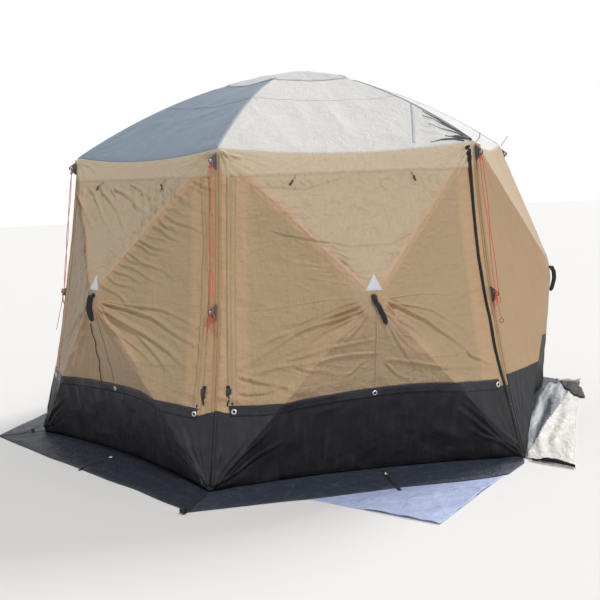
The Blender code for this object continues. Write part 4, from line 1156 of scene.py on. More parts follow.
def ground_sheet():
    """The loose sheet under the tent: flat below it, softly wrinkled where it comes out in front."""
    columns, rows = SHEET_GRID
    x, y = np.meshgrid(np.linspace(0, SHEET_SIZE[0], columns), np.linspace(0, SHEET_SIZE[1], rows))
    turned = np.stack([x * cos(SHEET_TURN) - y * sin(SHEET_TURN), x * sin(SHEET_TURN) + y * cos(SHEET_TURN)], -1)
    spot = (turned + SHEET_CORNER).reshape(-1, 2)
    clear = -1.0 * np.ones(len(spot))
    for number in WALLS:
        facing = np.array([cos(wall_angle(number)), sin(wall_angle(number))])
        clear = np.maximum(clear, spot @ facing - (BASE_APOTHEM + FLAP_WIDTH))
    free = smooth((clear - 0.012) / 0.10)
    along, across = x.ravel(), y.ravel()
    soft = creases((along + across) * 3.0, (along - across) * 7.0, 301.0)
    fine = creases((along - 0.4 * across) * 11, (across + 0.5 * along) * 9, 302.0)
    lift = np.clip(0.010 * soft + 0.004 * fine, 0, None)
    points = np.column_stack([spot, 0.0010 + lift * free])
    places = np.stack([along, across], -1)
    obj = piece_from("ground_sheet", points, grid_faces(rows, columns), ("sheet",), places, SHEET_SKIN)
    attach(obj, "shell")
    dress(obj, "groundsheet", "sheet_film")
    return obj


# ---- Guy ropes


def rope_curve(name, points):
    curve = bpy.data.curves.new(name, "CURVE")
    curve.dimensions = "3D"
    curve.bevel_depth = ROPE_RADIUS
    curve.bevel_resolution = 3
    curve.use_fill_caps = True
    spline = curve.splines.new("POLY")
    spline.points.add(len(points) - 1)
    for place, point in zip(spline.points, points):
        place.co = (*point, 1.0)
    curve.materials.append(FINISHES["cord"])
    return linked(name, curve)


def guy_rope(number):
    points = smooth_route(ROPE_ROUTES[number])
    obj = rope_curve(f"guy_rope_{number}_cord", points)
    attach(obj, "shell")
    dress(obj, f"guy_rope_{number}", "guy_cord")
    rope_pieces(number)


# ---- Frame

POLE_LENGTHS = 24
BOSS_HEIGHT = 0.0052
HUB_ROOM = 0.075


def node_mesh(node):
    """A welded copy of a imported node's mesh."""
    mesh = bpy.data.objects[node].data.copy()
    bm = bmesh.new()
    bm.from_mesh(mesh)
    bmesh.ops.remove_doubles(bm, verts=bm.verts, dist=0.00001)
    return mesh, bm


def piece_of(mesh, bm, name, finish):
    """A piece of a node's mesh after its cuts, all in one finish."""
    bm.to_mesh(mesh)
    bm.free()
    mesh.materials.clear()
    mesh.materials.append(FINISHES[finish])
    return linked(name, mesh)


def flexible_pole(node, start):
    """A fibreglass pole, cut at even steps along its length."""
    mesh, bm = node_mesh(node)
    spots = [vert.co.copy() for vert in bm.verts]
    low = min(spots, key=lambda p: (p - Vector(start)).length)
    high = max(spots, key=lambda p: (p - low).length)
    for i in range(1, POLE_LENGTHS):
        bisect(bm, low.lerp(high, i / POLE_LENGTHS), (high - low).normalized())
    for face in bm.faces:
        face.smooth = True
    obj = piece_of(mesh, bm, f"flexible_{node}", "rod")
    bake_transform(obj)
    dress(obj, node, "fibreglass_rod")


def frame_poles():
    for number in WALLS:
        hub = to_tent(number, [HUB_POINT])[0]
        for level, radius, height in (("upper", EAVE_RADIUS, EAVE_HEIGHT), ("lower", BASE_RADIUS, FLAP_TOP)):
            for side, hand in ((-1, "left"), (1, "right")):
                corner = bearing(wall_angle(number) + side * HALF_TURN, radius, height)
                flexible_pole(f"{level}_{hand}_pole_{number}", corner)
        corner = bearing(corner_angle(number), EAVE_RADIUS, EAVE_HEIGHT)
        flexible_pole(f"roof_pole_{number}", corner)


def wall_hub(number):
    """The moulded hub without its strap: cut off level with the boss."""
    node = f"wall_hub_{number}"
    mesh, bm = node_mesh(node)
    facing, middle = (Vector(p) for p in to_tent(number, [FACING, HUB_POINT]))
    bisect(bm, middle + facing * BOSS_HEIGHT, facing, clear_outer=True)
    stray = [v for v in bm.verts if ((v.co - middle) - facing * (v.co - middle).dot(facing)).length > HUB_ROOM]
    bmesh.ops.delete(bm, geom=stray, context="VERTS")
    bmesh.ops.holes_fill(bm, edges=[e for e in bm.edges if len(e.link_faces) == 1], sides=0)
    obj = piece_of(mesh, bm, f"{node}_moulding", "hub_plastic")
    rounded = obj.modifiers.new("edges", "BEVEL")
    rounded.width = 0.0006
    rounded.segments = 2
    rounded.limit_method = "ANGLE"
    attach(obj, node)
    dress(obj, node, "moulded_hub")


def finish_nodes():
    """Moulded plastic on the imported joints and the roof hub, whose shapes stay as they are."""
    finishes = {f"{kind}_joint_{number}": "plastic" for number in WALLS for kind in ("eave", "foot")}
    for node, finish in {**finishes, "roof_hub": "hub_plastic"}.items():
        for slot in bpy.data.objects[node].material_slots:
            slot.material = FINISHES[finish]


# ---- Floor, light and camera


FLOOR_HALF = 30.0
WORLD_LIGHT = 0.32
# Each lamp's name, strength, spread in degrees, colour, and the way that it shines from
LAMPS = (
    ("back_light", 1.35, 20, (1.0, 0.97, 0.93), (0.58, 0.46, 0.67)),
    ("front_light", 1.45, 8, (1.0, 1.0, 1.0), (0.12, -0.52, 0.85)),
)


def studio():
    """A pale floor, a white sky that lights less than it shows, two suns and the camera."""
    mesh = bpy.data.meshes.new("floor")
    square = [(FLOOR_HALF * x, FLOOR_HALF * y, 0) for x, y in ((-1, -1), (1, -1), (1, 1), (-1, 1))]
    mesh.from_pydata(square, [], [(0, 1, 2, 3)])
    f = Finish("pale_floor", roughness=0.9)
    mesh.materials.append(f.done(f.shade((0.90, 0.90, 0.90), f.noise(f.object_place(), 1.5, 2.0), 0.01)))
    linked("floor", mesh)
    scene = bpy.context.scene
    scene.world = bpy.data.worlds.new("studio")
    scene.world.use_nodes = True
    tree = scene.world.node_tree
    rays = add_node(tree, "ShaderNodeLightPath").outputs
    seen = rays["Is Camera Ray"]
    for kind in ("Is Glossy Ray", "Is Transmission Ray"):
        seen = add_node(tree, "ShaderNodeMath", {0: seen, 1: rays[kind]}, operation="MAXIMUM").outputs[0]
    strength = add_node(tree, "ShaderNodeMix", {0: seen, 2: WORLD_LIGHT, 3: 1.0})
    back = tree.nodes["Background"].inputs
    feed(tree, back["Color"], (1.0, 1.0, 1.0))
    feed(tree, back["Strength"], strength.outputs[0])
    for name, power, spread_angle, tone, place in LAMPS:
        lamp = bpy.data.lights.new(name, "SUN")
        lamp.energy = power
        lamp.angle = radians(spread_angle)
        lamp.color = tone
        sun = linked(name, lamp)
        sun.rotation_mode = "QUATERNION"
        sun.rotation_quaternion = Vector(place).to_track_quat("Z", "Y")
    scene.view_settings.view_transform = "Standard"
    lens = bpy.data.cameras.new("camera")
    lens.lens = CAMERA_LENS
    lens.sensor_width = CAMERA_SENSOR
    lens.clip_end = CAMERA_REACH
    scene.camera = linked("camera", lens)
    turn = Matrix.Rotation(CAMERA_YAW, 3, "Z") @ Matrix.Rotation(CAMERA_PITCH, 3, "X")
    right, forward, up = (turn @ Matrix.Rotation(CAMERA_ROLL, 3, "Y")).col
    axes = Matrix((right, up, -forward)).transposed().to_4x4()
    scene.camera.matrix_world = Matrix.Translation(CAMERA_PLACE) @ axes


# ---- Trim sewn to the walls and the roof

BAND_LIFT = 0.0004
BAND_DOME = 0.0009
STITCH_LIFT = 0.0022
STITCH_PITCH = 0.0085
STITCH_SIZE = (0.0058, 0.0013, 0.0011)
TEETH_STEP = 0.008
SEAM_INSET = 0.0075
TAPE_STITCHES = 0.0195
STRAP_THICK = 0.0016


class Surface:
    """Cloth that trim is laid on, met along one straight line of sight."""

    def __init__(self, cloths, axes, look):
        self.look = Vector(look)
        points, faces = [], []
        for obj in cloths:
            start = len(points)
            points += [tuple(p) for p in positions(obj.data) @ axes]
            faces += [tuple(start + v for v in face) for face in corners_of(obj.data)]
        self.tree = BVHTree.FromPolygons(points, faces)

    def at(self, spot, lift=0.0):
        """The point over (x, y) of the plane across the look, and the cloth's facing there."""
        spot = Vector(spot)
        for nudge in (1.0, 0.9985, 0.997, 0.99):
            start = Vector((spot.x * nudge, spot.y, spot.z)) - self.look * 4
            point, normal, _, _ = self.tree.ray_cast(start, self.look)
            if point is not None:
                return point - self.look * lift, normal
        raise ValueError(f"no cloth under {spot}")


def resampled(path, step):
    """Points along a path at an even step, with the way it runs at each."""
    path = [np.array(p, float) for p in path]
    lengths = [float(np.linalg.norm(b - a)) for a, b in zip(path, path[1:])]
    count = max(2, int(round(sum(lengths) / step)) + 1)
    spots, ways = [], []
    for target in np.linspace(0, sum(lengths), count):
        for a, b, length in zip(path, path[1:], lengths):
            if target <= length + 1e-9:
                break
            target -= length
        spots.append(a + (b - a) * min(target / length, 1.0))
        ways.append((b - a) / length)
    ways = [(ways[max(i - 1, 0)] + w + ways[min(i + 1, count - 1)]) for i, w in enumerate(ways)]
    return np.array(spots), np.array([w / np.linalg.norm(w) for w in ways])


class Cloth:
    """Sewn cloth and the trim that goes on it, laid out in two of its own axes."""

    facing = FACING
    look = (0.0, 0.0, -1.0)
    handed = -1

    def __init__(self, number, cloths):
        self.number = number
        self.axes = np.array(self.own_axes())
        self.surface = Surface(cloths, self.axes, self.look)
        self.rows = []

    def own_axes(self):
        return wall_axes(self.number)

    def parts(self, name, points, faces, finishes, places=None, thick=None):
        """One piece, held as its cloth is."""
        return self.held(piece_from(name, np.asarray(points) @ self.axes.T, faces, finishes, places, thick))

    def band(self, name, path, width, finish, thick=0.0012, lanes=5, wave=None, taper=None):
        """A ribbon sewn along a path, domed a little between its stitched edges."""
        spots, ways = resampled(path, STEP)
        grid, places = [], []
        run = 0.0
        for i, (spot, way) in enumerate(zip(spots, ways)):
            run += 0.0 if i == 0 else float(np.linalg.norm(spot - spots[i - 1]))
            wide = width * (taper(i / (len(spots) - 1)) if taper else 1.0)
            for lane in np.linspace(-0.5, 0.5, lanes):
                one, two = spot + np.array([-way[1], way[0]]) * wide * lane
                dome = BAND_DOME * (1 - (2 * lane) ** 2)
                ripple = wave(run, lane) if wave else 0.0
                grid.append(self.spot(one, two, thick + BAND_LIFT + dome + ripple))
                places.append((run, wide * lane))
        return self.parts(name, grid, self.outward(grid, grid_faces(len(spots), lanes)), (finish,), places, thick)

    def facing_at(self, one, two, reach=0.012):
        """Which way the cloth faces at a spot, from four spots round it."""
        across = self.spot(one + reach, two) - self.spot(one - reach, two)
        along = self.spot(one, two + reach) - self.spot(one, two - reach)
        facing = np.cross(across, along)
        return facing * np.sign(facing @ self.facing) / np.linalg.norm(facing)

    def outward(self, grid, faces):
        """The faces turned so that they look out of the cloth."""
        a, b, d = (np.asarray(grid)[faces[:, k]] for k in (0, 1, 3))
        turned = float(np.cross(b - a, d - a).mean(axis=0) @ self.facing) * self.handed
        return faces if turned > 0 else faces[:, ::-1]

    def row(self, path, step, lift):
        return [self.spot(one, two, lift) for one, two in resampled(path, step)[0]]

    def stitch(self, *paths, lift=STITCH_LIFT):
        self.rows += [self.row(path, STEP, lift) for path in paths]

    def sew(self, name, finish="thread"):
        """All this cloth's stitches, from the rows noted so far."""
        if self.rows:
            self.parts(name, *repeated(self.rows, self.facing, "stitch", STITCH_PITCH, STITCH_SIZE), (finish,))

    def teeth(self, name, path, finish, size=(0.0022, 0.0066, 0.0022), pitch=0.0042, lift=0.0030):
        """A zip's closed teeth."""
        row = self.row(path, TEETH_STEP, lift)
        return self.parts(name, *repeated([row], self.facing, "tooth", pitch, size), (finish,))


class Wall(Cloth):
    """One finished wall, and the trim that goes on it, laid out in (u, z)."""

    def spot(self, u, z, lift=0.0):
        return np.array(self.surface.at((u, z, 0.0), lift)[0])

    def sector(self, u, z):
        across = abs(u)
        if z > HUB_Z + across * (EAVE_HEIGHT - HUB_Z) / EAVE_HALF:
            return "top"
        if z < HUB_Z - across * HUB_Z / BASE_HALF:
            return "bottom"
        return "right" if u > 0 else "left"

    def parts(self, name, points, faces, finishes, places=None, thick=None, sectors=None):
        """Pieces on this wall, one for each sector that the faces fall in."""
        points, faces = np.asarray(points, float), [tuple(f) for f in faces]
        groups = {}
        for i, face in enumerate(faces):
            middle = points[list(face)].mean(axis=0)
            groups.setdefault(sectors or self.sector(middle[0], middle[1]), []).append(i)
        made = []
        for sector, chosen in groups.items():
            used = sorted({v for i in chosen for v in faces[i]})
            index = {v: k for k, v in enumerate(used)}
            own = [tuple(index[v] for v in faces[i]) for i in chosen]
            full = name if len(groups) == 1 else f"{name}_{sector}"
            own_places = None if places is None else np.asarray(places)[used]
            obj = piece_from(full, to_tent(self.number, points[used]), own, finishes, own_places, thick)
            sector_blend(obj, self.number, sector)
            made.append(dress(obj, f"wall_panel_{self.number}", "wall_cloth"))
        return made

    def patch(self, name, corners, finish, thick=0.0012, cuts=8):
        """A flat piece of cloth between four corners of (u, z), laid on the wall."""
        def at(s, t):
            u, z = between(corners, s, t)
            return self.spot(u, z, thick + 0.0006), (u, z)

        grid, places, faces = gridded(cuts + 1, cuts + 1, at)
        return self.parts(name, grid, self.outward(grid, faces), (finish,), places, thick, "top")


def repeat_tree(kind):
    """Geometry Nodes that set a small shape at an even pitch along every line of a mesh."""
    tree = bpy.data.node_groups.new(f"{kind}_row", "GeometryNodeTree")

    def add(kind, inputs=(), **settings):
        return add_node(tree, kind, inputs, **settings).outputs

    sockets = [("Geometry", "NodeSocketGeometry"), ("Pitch", "NodeSocketFloat"), ("Size", "NodeSocketVector")]
    made = [tree.interface.new_socket(n, in_out="INPUT", socket_type=t) for n, t in sockets]
    tree.interface.new_socket("Geometry", in_out="OUTPUT", socket_type="NodeSocketGeometry")
    given = add("NodeGroupInput")
    curve = add("GeometryNodeMeshToCurve", {0: given["Geometry"]})[0]
    even = add("GeometryNodeResampleCurve", {"Curve": curve, "Length": given["Pitch"]}, mode="LENGTH")[0]
    if kind == "stitch":
        shape = add("GeometryNodeMeshIcoSphere", {"Radius": 0.5, "Subdivisions": 1})
    else:
        shape = add("GeometryNodeMeshCylinder", {"Vertices": 6, "Radius": 0.5, "Depth": 1.0})
    facing = add("GeometryNodeInputNamedAttribute", {"Name": "facing"}, data_type="FLOAT_VECTOR")["Attribute"]
    along = {"Vector": add("GeometryNodeInputTangent")[0]}
    over = {"Vector": facing, "Rotation": add("FunctionNodeAlignRotationToVector", along, axis="X")[0]}
    up = "Y" if kind == "tooth" else "Z"
    turn = add("FunctionNodeAlignRotationToVector", over, axis=up, pivot_axis="X")[0]
    inputs = {"Points": even, "Instance": shape["Mesh"], "Rotation": turn, "Scale": given["Size"]}
    placed = add("GeometryNodeInstanceOnPoints", inputs)[0]
    add("NodeGroupOutput", {0: add("GeometryNodeRealizeInstances", {0: placed})[0]})
    return tree, {n: s.identifier for (n, _), s in zip(sockets, made)}


REPEAT_TREES = {kind: repeat_tree(kind) for kind in ("stitch", "tooth")}


def repeated(rows, facing, kind, pitch, size):
    """Points and faces of small shapes set along rows of points, all facing one way."""
    points, edges = [], []
    for row in rows:
        start = len(points)
        points += [tuple(p) for p in row]
        edges += [(start + i, start + i + 1) for i in range(len(row) - 1)]
    mesh = bpy.data.meshes.new("row")
    mesh.from_pydata(points, edges, [])
    layer = mesh.attributes.new("facing", "FLOAT_VECTOR", "POINT")
    layer.data.foreach_set("vector", np.tile(np.asarray(facing, np.float32), len(points)))
    obj = linked("row", mesh)
    tree, names = REPEAT_TREES[kind]
    rule = obj.modifiers.new("rule", "NODES")
    rule.node_group = tree
    rule[names["Pitch"]] = pitch
    rule[names["Size"]] = size
    graph = bpy.context.evaluated_depsgraph_get()
    made = bpy.data.meshes.new_from_object(obj.evaluated_get(graph))
    shapes = positions(made), corners_of(made)
    bpy.data.objects.remove(obj, do_unlink=True)
    bpy.data.meshes.remove(mesh)
    bpy.data.meshes.remove(made)
    return shapes


def lathe(profile, sides=20):
    """Points and faces of a shape turned about Z from closed (radius, height) pairs."""
    count = len(profile)
    angles = [2 * pi * i / sides for i in range(sides)]
    points = [(r * cos(angle), r * sin(angle), h) for angle in angles for r, h in profile]
    faces = []
    for i in range(sides):
        for k in range(count):
            a, b = i * count + k, i * count + (k + 1) % count
            c, d = (i + 1) % sides * count + (k + 1) % count, (i + 1) % sides * count + k
            faces.append((a, d, c, b))
    return points, faces


def eyelet_shape(outer, inner, high=0.0022):
    """A rolled metal ring: flat skirt outside, rounded lip inside."""
    mid = (outer + inner) / 2
    return lathe([
        (outer, 0.0), (outer, high * 0.35), (mid, high * 0.75), (inner + (mid - inner) * 0.5, high),
        (inner, high * 0.7), (inner, -high * 0.4), (mid, -high * 0.3),
    ])


def set_shape(shape, centre, facing, along=(0.0, 0.0, 1.0)):
    """A shape turned to face one way and moved to its place."""
    points, faces = shape
    z = Vector(facing).normalized()
    x = Vector(along).cross(z)
    x = x.normalized() if x.length > 1e-6 else z.orthogonal().normalized()
    turn = Matrix((x, z.cross(x), z)).transposed()
    return [tuple(turn @ Vector(p) + Vector(centre)) for p in points], faces


def fixed(name, points, faces, finish, node, slot):
    """A rigid piece that rides on the shell."""
    obj = piece_from(name, points, faces, (finish,))
    bm = bmesh.new()
    bm.from_mesh(obj.data)
    bmesh.ops.recalc_face_normals(bm, faces=bm.faces)
    bm.to_mesh(obj.data)
    bm.free()
    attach(obj, "shell")
    return dress(obj, node, slot)


def ring_faces(rings, count):
    """Faces round a stack of rings of points, and over its two ends."""
    faces = []
    for low in range(0, (rings - 1) * count, count):
        for k in range(count):
            after = (k + 1) % count
            faces.append((low + k, low + after, low + count + after, low + count + k))
    last = (rings - 1) * count
    return [*faces, tuple(range(count))[::-1], tuple(range(last, last + count))]


def tube(path, radius, sides=8):
    """Points and faces of a round cord along a path, with closed ends."""
    path = [Vector(p) for p in path]
    points = []
    side = None
    for i, spot in enumerate(path):
        way = (path[min(i + 1, len(path) - 1)] - path[max(i - 1, 0)]).normalized()
        side = way.orthogonal().normalized() if side is None else (side - way * side.dot(way)).normalized()
        over = way.cross(side)
        for k in range(sides):
            a = 2 * pi * k / sides
            points.append(tuple(spot + (side * cos(a) + over * sin(a)) * radius))
    return points, ring_faces(len(path), sides)


def together(*shapes):
    points, faces = [], []
    for more, own in shapes:
        start = len(points)
        points += list(more)
        faces += [tuple(start + v for v in face) for face in own]
    return points, faces


# ---- The walls' fittings


def wall_trim(wall):
    """Zips, seams, hem strip, toggles and grommets of a panelled wall."""
    n = wall.number

    def hem(u):
        return float(hem_height(n, u))

    for hand, side in (("left", -1), ("right", 1)):
        if n == 1 and side == 1:
            continue
        low = hem(side * 0.72) + 0.030
        line = [(side * zip_line(z), z) for z in np.linspace(PANEL_TOP, low, 7)]
        crimp = lambda run, lane: 0.0012 * float(noise(run * 30, lane * 2.0, n + side))
        wall.band(f"panel_zip_tape_{n}_{hand}", line, 0.044, "tape", 0.0011, 5, crimp)
        wall.teeth(f"panel_zip_teeth_{n}_{hand}", line, "tape")
        wall.stitch(*([(u + off, z) for u, z in line] for off in (-TAPE_STITCHES, TAPE_STITCHES)))
        slider(wall, f"zip_slider_{n}_{hand}", wall.spot(side * zip_line(low + 0.02), low + 0.02, 0.004))
    wide = zip_line(PANEL_TOP)
    wall.stitch(*([(-wide, PANEL_TOP + off), (wide, PANEL_TOP + off)] for off in (0.006, -0.004)))
    seam = [(0.012, HUB_Z - 0.09), (0.018, 0.75), (0.024, 0.47)]
    wall.band(f"panel_seam_{n}", seam, 0.009, "tape", 0.0010, 3)
    wall.stitch(seam)
    pleats = lambda run, lane: 0.0020 * float(noise(run * 26, lane * 1.2, n + 31)) ** 2
    strip = [(u, hem(u) + 0.009) for u in np.linspace(-0.745, 0.735 if n != 1 else 0.752, 12)]
    wall.band(f"hem_strip_{n}", strip, 0.052, "hem", 0.0016, 6, pleats)
    wall.stitch([(u, z + 0.023) for u, z in strip])
    for k, u in enumerate((-0.722, 0.02, 0.745 if n == 1 else 0.722)):
        z = hem(u) + 0.006
        way = wall.facing_at(u, z)
        ring = set_shape(eyelet_shape(0.0150, 0.0078, 0.0030), wall.spot(u, z) + way * 0.0048, way)
        wall.parts(f"hem_grommet_{n}_{k + 1}", *ring, ("metal",), sectors=wall.sector(u, hem(u)))
    toggle(wall, "left", -0.348, 0.030, 0.8)
    toggle(wall, "right", 0.332, -0.012, -0.35)


def slider(wall, name, spot):
    """A zip slider with its puller hanging down."""
    body = [
        (-0.0055, -0.007, 0.0), (0.0055, -0.007, 0.0), (0.0065, 0.006, 0.0), (-0.0065, 0.006, 0.0),
        (-0.0042, -0.0055, 0.0036), (0.0042, -0.0055, 0.0036), (0.0050, 0.0045, 0.0036), (-0.0050, 0.0045, 0.0036),
    ]
    faces = [(3, 2, 1, 0), (4, 5, 6, 7), (0, 1, 5, 4), (1, 2, 6, 5), (2, 3, 7, 6), (3, 0, 4, 7)]
    hanging = [(0.0, -0.002, 0.004), (0.0, -0.010, 0.0055), (0.001, -0.026, 0.0035), (0.0015, -0.040, 0.003)]
    points, faces = together((body, faces), tube(hanging, 0.0021))
    points = [tuple(np.array(spot) + np.array(p)) for p in points]
    obj, = wall.parts(name, points, faces, ("toggle",), sectors=wall.sector(spot[0], spot[1]))
    bevel = obj.modifiers.new("edges", "BEVEL")
    bevel.width = 0.0006
    bevel.segments = 1


def toggle(wall, hand, u, lean, tilt):
    """A roll-up toggle: a cord loop from the valance seam with a small barrel on it."""
    z = PANEL_TOP - 0.004
    steps = ((1.0, 0.0, 0.002), (0.8, 0.012, 0.007), (0.3, 0.026, 0.009), (0.0, 0.038, 0.008))
    loop = [wall.spot(u + lean * share, z - drop, lift) for share, drop, lift in steps]
    cord = tube(smooth_route(loop, 4), 0.0017, 6)
    wall.parts(f"toggle_loop_{wall.number}_{hand}", *cord, ("tan_webbing",), sectors="top")
    half, thick = 0.0155, 0.0056
    profile = [
        (0.0009, -half), (thick * 0.8, -half), (thick, -half * 0.6), (thick * 0.72, 0.0), (thick, half * 0.6),
        (thick * 0.8, half), (0.0009, half),
    ]
    barrel = set_shape(lathe(profile, 12), loop[-1], (tilt, 1.0, 0.0), FACING)
    wall.parts(f"toggle_{wall.number}_{hand}", *barrel, ("toggle",), sectors="top")


def reflective_triangle(wall):
    """The stitched triangle over the hub: a patch with two of its corners nearly in one."""
    corners = ((-0.046, 0.997), (0.052, 0.996), (0.012, 1.083), (0.010, 1.083))
    wall.patch(f"reflective_triangle_{wall.number}", corners, "reflective", 0.0008)
    wall.stitch(
        [(-0.040, 1.0005), (0.046, 0.9995)], [(-0.041, 1.001), (0.010, 1.078)], [(0.047, 1.001), (0.011, 1.078)],
    )


# How far below the hub's middle the strap's points hang, each with the share of its sway
STRAP_STATIONS = ((0.026, 0.10), (0.045, 0.30), (0.070, 0.50), (0.100, 0.75), (0.130, 0.93), (0.150, 1.0))
STRAP_SWAY = {1: 0.062, 2: 0.02, 3: 0.02, 4: 0.02, 5: 0.02, 6: -0.036}
BAR_TACKS = (0.052, 0.058)


def pull_strap(wall):
    """The hub's webbing pull: out of the boss, over and down the cloth, doubled and bar-tacked."""
    n = wall.number
    sway = STRAP_SWAY[n]
    twist = {2: 3.0, 6: -1.0}.get(n, 0.0)
    stand = {2: 0.012, 6: 0.002}.get(n, 0.0)
    foot = HUB_POINT + FACING * 0.003
    path = [foot, foot + FACING * 0.010 - UPHILL * 0.003, foot + FACING * 0.014 - UPHILL * 0.012]
    for drop, share in STRAP_STATIONS:
        aside = sway * (share if n != 6 else 0.30 + 0.70 * share)
        path.append(wall.spot(aside, HUB_Z - drop, 0.006 + stand + 0.005 * (1 - share)))
    fine = smooth_route(path, 4)
    grid, places = [], []
    for i, spot in enumerate(fine):
        share = i / (len(fine) - 1)
        half = (0.0125 if n != 6 else 0.0165) * (0.35 + 0.65 * smooth(share / 0.15))
        if share > 0.90:
            half *= max(0.06, (1 - share) / 0.10) ** (1.0 if n == 1 else 0.4)
        way = (fine[min(i + 1, len(fine) - 1)] - fine[max(i - 1, 0)]).normalized()
        across = (Vector((1.0, 0.0, 0.0)) - way * way.x).normalized()
        lean = 0.10 * sin(share * 9) + twist * smooth(share / 0.3)
        across = (across + Vector(FACING) * lean).normalized()
        for lane in (-1, -0.5, 0, 0.5, 1):
            grid.append(tuple(spot + across * half * float(lane)))
            places.append((share * 0.17, half * lane))
    faces = wall.outward(grid, grid_faces(len(fine), 5))
    obj, = wall.parts(f"pull_strap_{n}", grid, faces, ("webbing",), places, 0.0046 if n != 2 else 0.009, "bottom")
    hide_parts(f"wall_hub_{n}")
    for drop in BAR_TACKS:
        wall.rows.append([wall.spot(sway * 0.36 + x, HUB_Z - drop, 0.0125) for x in (-0.008, 0.0, 0.008)])


def strap_cord(wall):
    """The thin dark cord that hangs from the left wall's pull strap down to the hem."""
    line = [
        (-0.064, 0.800), (-0.074, 0.745), (-0.066, 0.690), (-0.086, 0.630), (-0.080, 0.575), (-0.100, 0.520),
        (-0.112, 0.440),
    ]
    cord = tube([wall.spot(u, z, 0.0040) for u, z in smooth_line(line, 6)], 0.0022, 6)
    wall.parts("pull_strap_cord_6", *cord, ("webbing",), sectors="bottom")


def corner_seam(wall):
    """The flat-felled seams up the wall's side edges, the tan part with a row of stitches beside it."""
    for hand, side in (("left", -1), ("right", 1)):
        def edge_line(high, low, count):
            heights = np.linspace(high, low, count)
            return [(side * (edge_radius(z) * sin(HALF_TURN) - SEAM_INSET), z) for z in heights]

        line = edge_line(EAVE_HEIGHT - 0.03, float(hem_height(wall.number, side * 0.8)) + 0.004, 14)
        wall.band(f"corner_seam_{wall.number}_{hand}", line, 0.009, "corner_tape", 0.0008, 3)
        wall.stitch([(u - side * 0.009, z) for u, z in line])
        low = edge_line(0.385, 0.03, 6)
        wall.band(f"skirt_seam_{wall.number}_{hand}", low, 0.013, "hem", 0.0012, 3)


def door_zip(wall):
    """The black zip band down the front wall's right edge."""
    line = smooth_line([
        (0.666, 1.722), (0.681, 1.452), (0.691, 1.153), (0.711, 0.967), (0.737, 0.769), (0.764, 0.55),
        (0.798, 0.383), (0.828, 0.216), (0.853, 0.045),
    ], 3)
    thin = lambda share: 1.0 - 0.30 * smooth(share / 0.25)
    wall.band("door_zip_band_1", line, 0.027, "black_tape", 0.0016, 5, taper=thin)
    wall.teeth("door_zip_teeth_1", line, "webbing", (0.0026, 0.0085, 0.0030), 0.0050, 0.0042)
    slider(wall, "door_zip_slider_1", wall.spot(0.812, 0.30, 0.005))


TAB_PLACES = (EAVE_HEIGHT - 0.066, 0.900)
TAB_HALF = 0.048
TAB_TIP = 0.0050
TAB_REACH = 0.058
TAB_EYE = 0.039
TAB_RING = (0.0092, 0.0046, 0.0018)


def guy_tabs(number):
    """The two grey guy tabs on a wall's right corner, each with its eyelet."""
    corner = wall_angle(number) + HALF_TURN
    lean = pi / 6 if number == 6 else 0.0
    for k, height in enumerate(TAB_PLACES):
        low, high = (bearing(corner, edge_radius(z), z) for z in (height - TAB_HALF, height + TAB_HALF))
        seam = (high - low).normalized()
        through = bearing(corner + pi / 2)
        frame_of = Matrix((through.cross(seam), through, seam)).transposed().to_4x4()
        frame_of = frame_of @ Matrix.Rotation(-lean, 4, "Z")
        aside = bearing(wall_angle(number) + pi / 2) * (0.0023 + 0.003 * sin(lean))
        frame_of.translation = bearing(corner, edge_radius(height), height) - aside

        def at(s, t):
            up = 2 * t - 1
            half = (TAB_HALF + (TAB_TIP - TAB_HALF) * s) * (1 + 0.10 * float(arc_share(s)))
            cup = 0.0014 * float(arc_share(s)) * (1 - up * up)
            return tuple(frame_of @ Vector((TAB_REACH * s - 0.003, 0.0011 + cup, half * up))), None

        grid, _, faces = gridded(9, 9, at)
        obj = piece_from(f"guy_tab_{number}_{k + 1}", grid, faces, ("patch",), thick=0.0020)
        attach(obj, "shell")
        dress(obj, f"wall_panel_{number}", "wall_cloth")
        eye = frame_of @ Vector((TAB_EYE, 0.0, 0.0))
        way = frame_of.to_3x3() @ Vector((0.0, 1.0, 0.0))
        ring = eyelet_shape(*TAB_RING)
        rings = together(set_shape(ring, eye + way * 0.0014, way), set_shape(ring, eye - way * 0.0012, -way))
        fixed(f"guy_tab_eyelet_{number}_{k + 1}", *rings, "metal", f"wall_panel_{number}", "wall_cloth")


def buckle(wall, name, u, z, tail):
    """A black side-release buckle on its strap, sewn on at the top and hanging over the hem."""
    wall.band(f"{name}_strap", [(u, z + 0.040), (u, z)], 0.018, "webbing", 0.0015, 3)
    hanging = [(u, z), (u + tail[0] * 0.15, z - tail[1] * 0.5), (u + tail[0], z - tail[1])]
    wall.band(f"{name}_tail", hanging, 0.008, "webbing", 0.0015, 3)
    right = [(0.011, -0.024), (0.0145, -0.012), (0.0135, 0.002), (0.0145, 0.016), (0.011, 0.026)]
    outline = [(-0.011, -0.024), *right, *[(-x, y) for x, y in right[:0:-1]]]
    base = wall.spot(u, z)
    heights = ((0.0018, 0.94), (0.0035, 1.0), (0.0080, 1.0), (0.0105, 0.82))
    points = [tuple(base + np.array([x * share, y * share, h])) for h, share in heights for x, y in outline]
    faces = ring_faces(len(heights), len(outline))
    wall.parts(name, points, faces, ("plastic",), sectors=wall.sector(u, z))


def foot_patches(wall):
    """The dashed arcs of the reinforced corners at the foot of the skirt."""
    for side in (-1, 1):
        arc = []
        for angle in np.linspace(14, 92, 12):
            across, up = 0.105 * cos(radians(angle)), 0.105 * sin(radians(angle))
            arc.append((side * (BASE_HALF - 0.004 - across - 0.068 * up), 0.004 + up))
        wall.stitch(arc, lift=0.0012)


# ---- The roof's trim


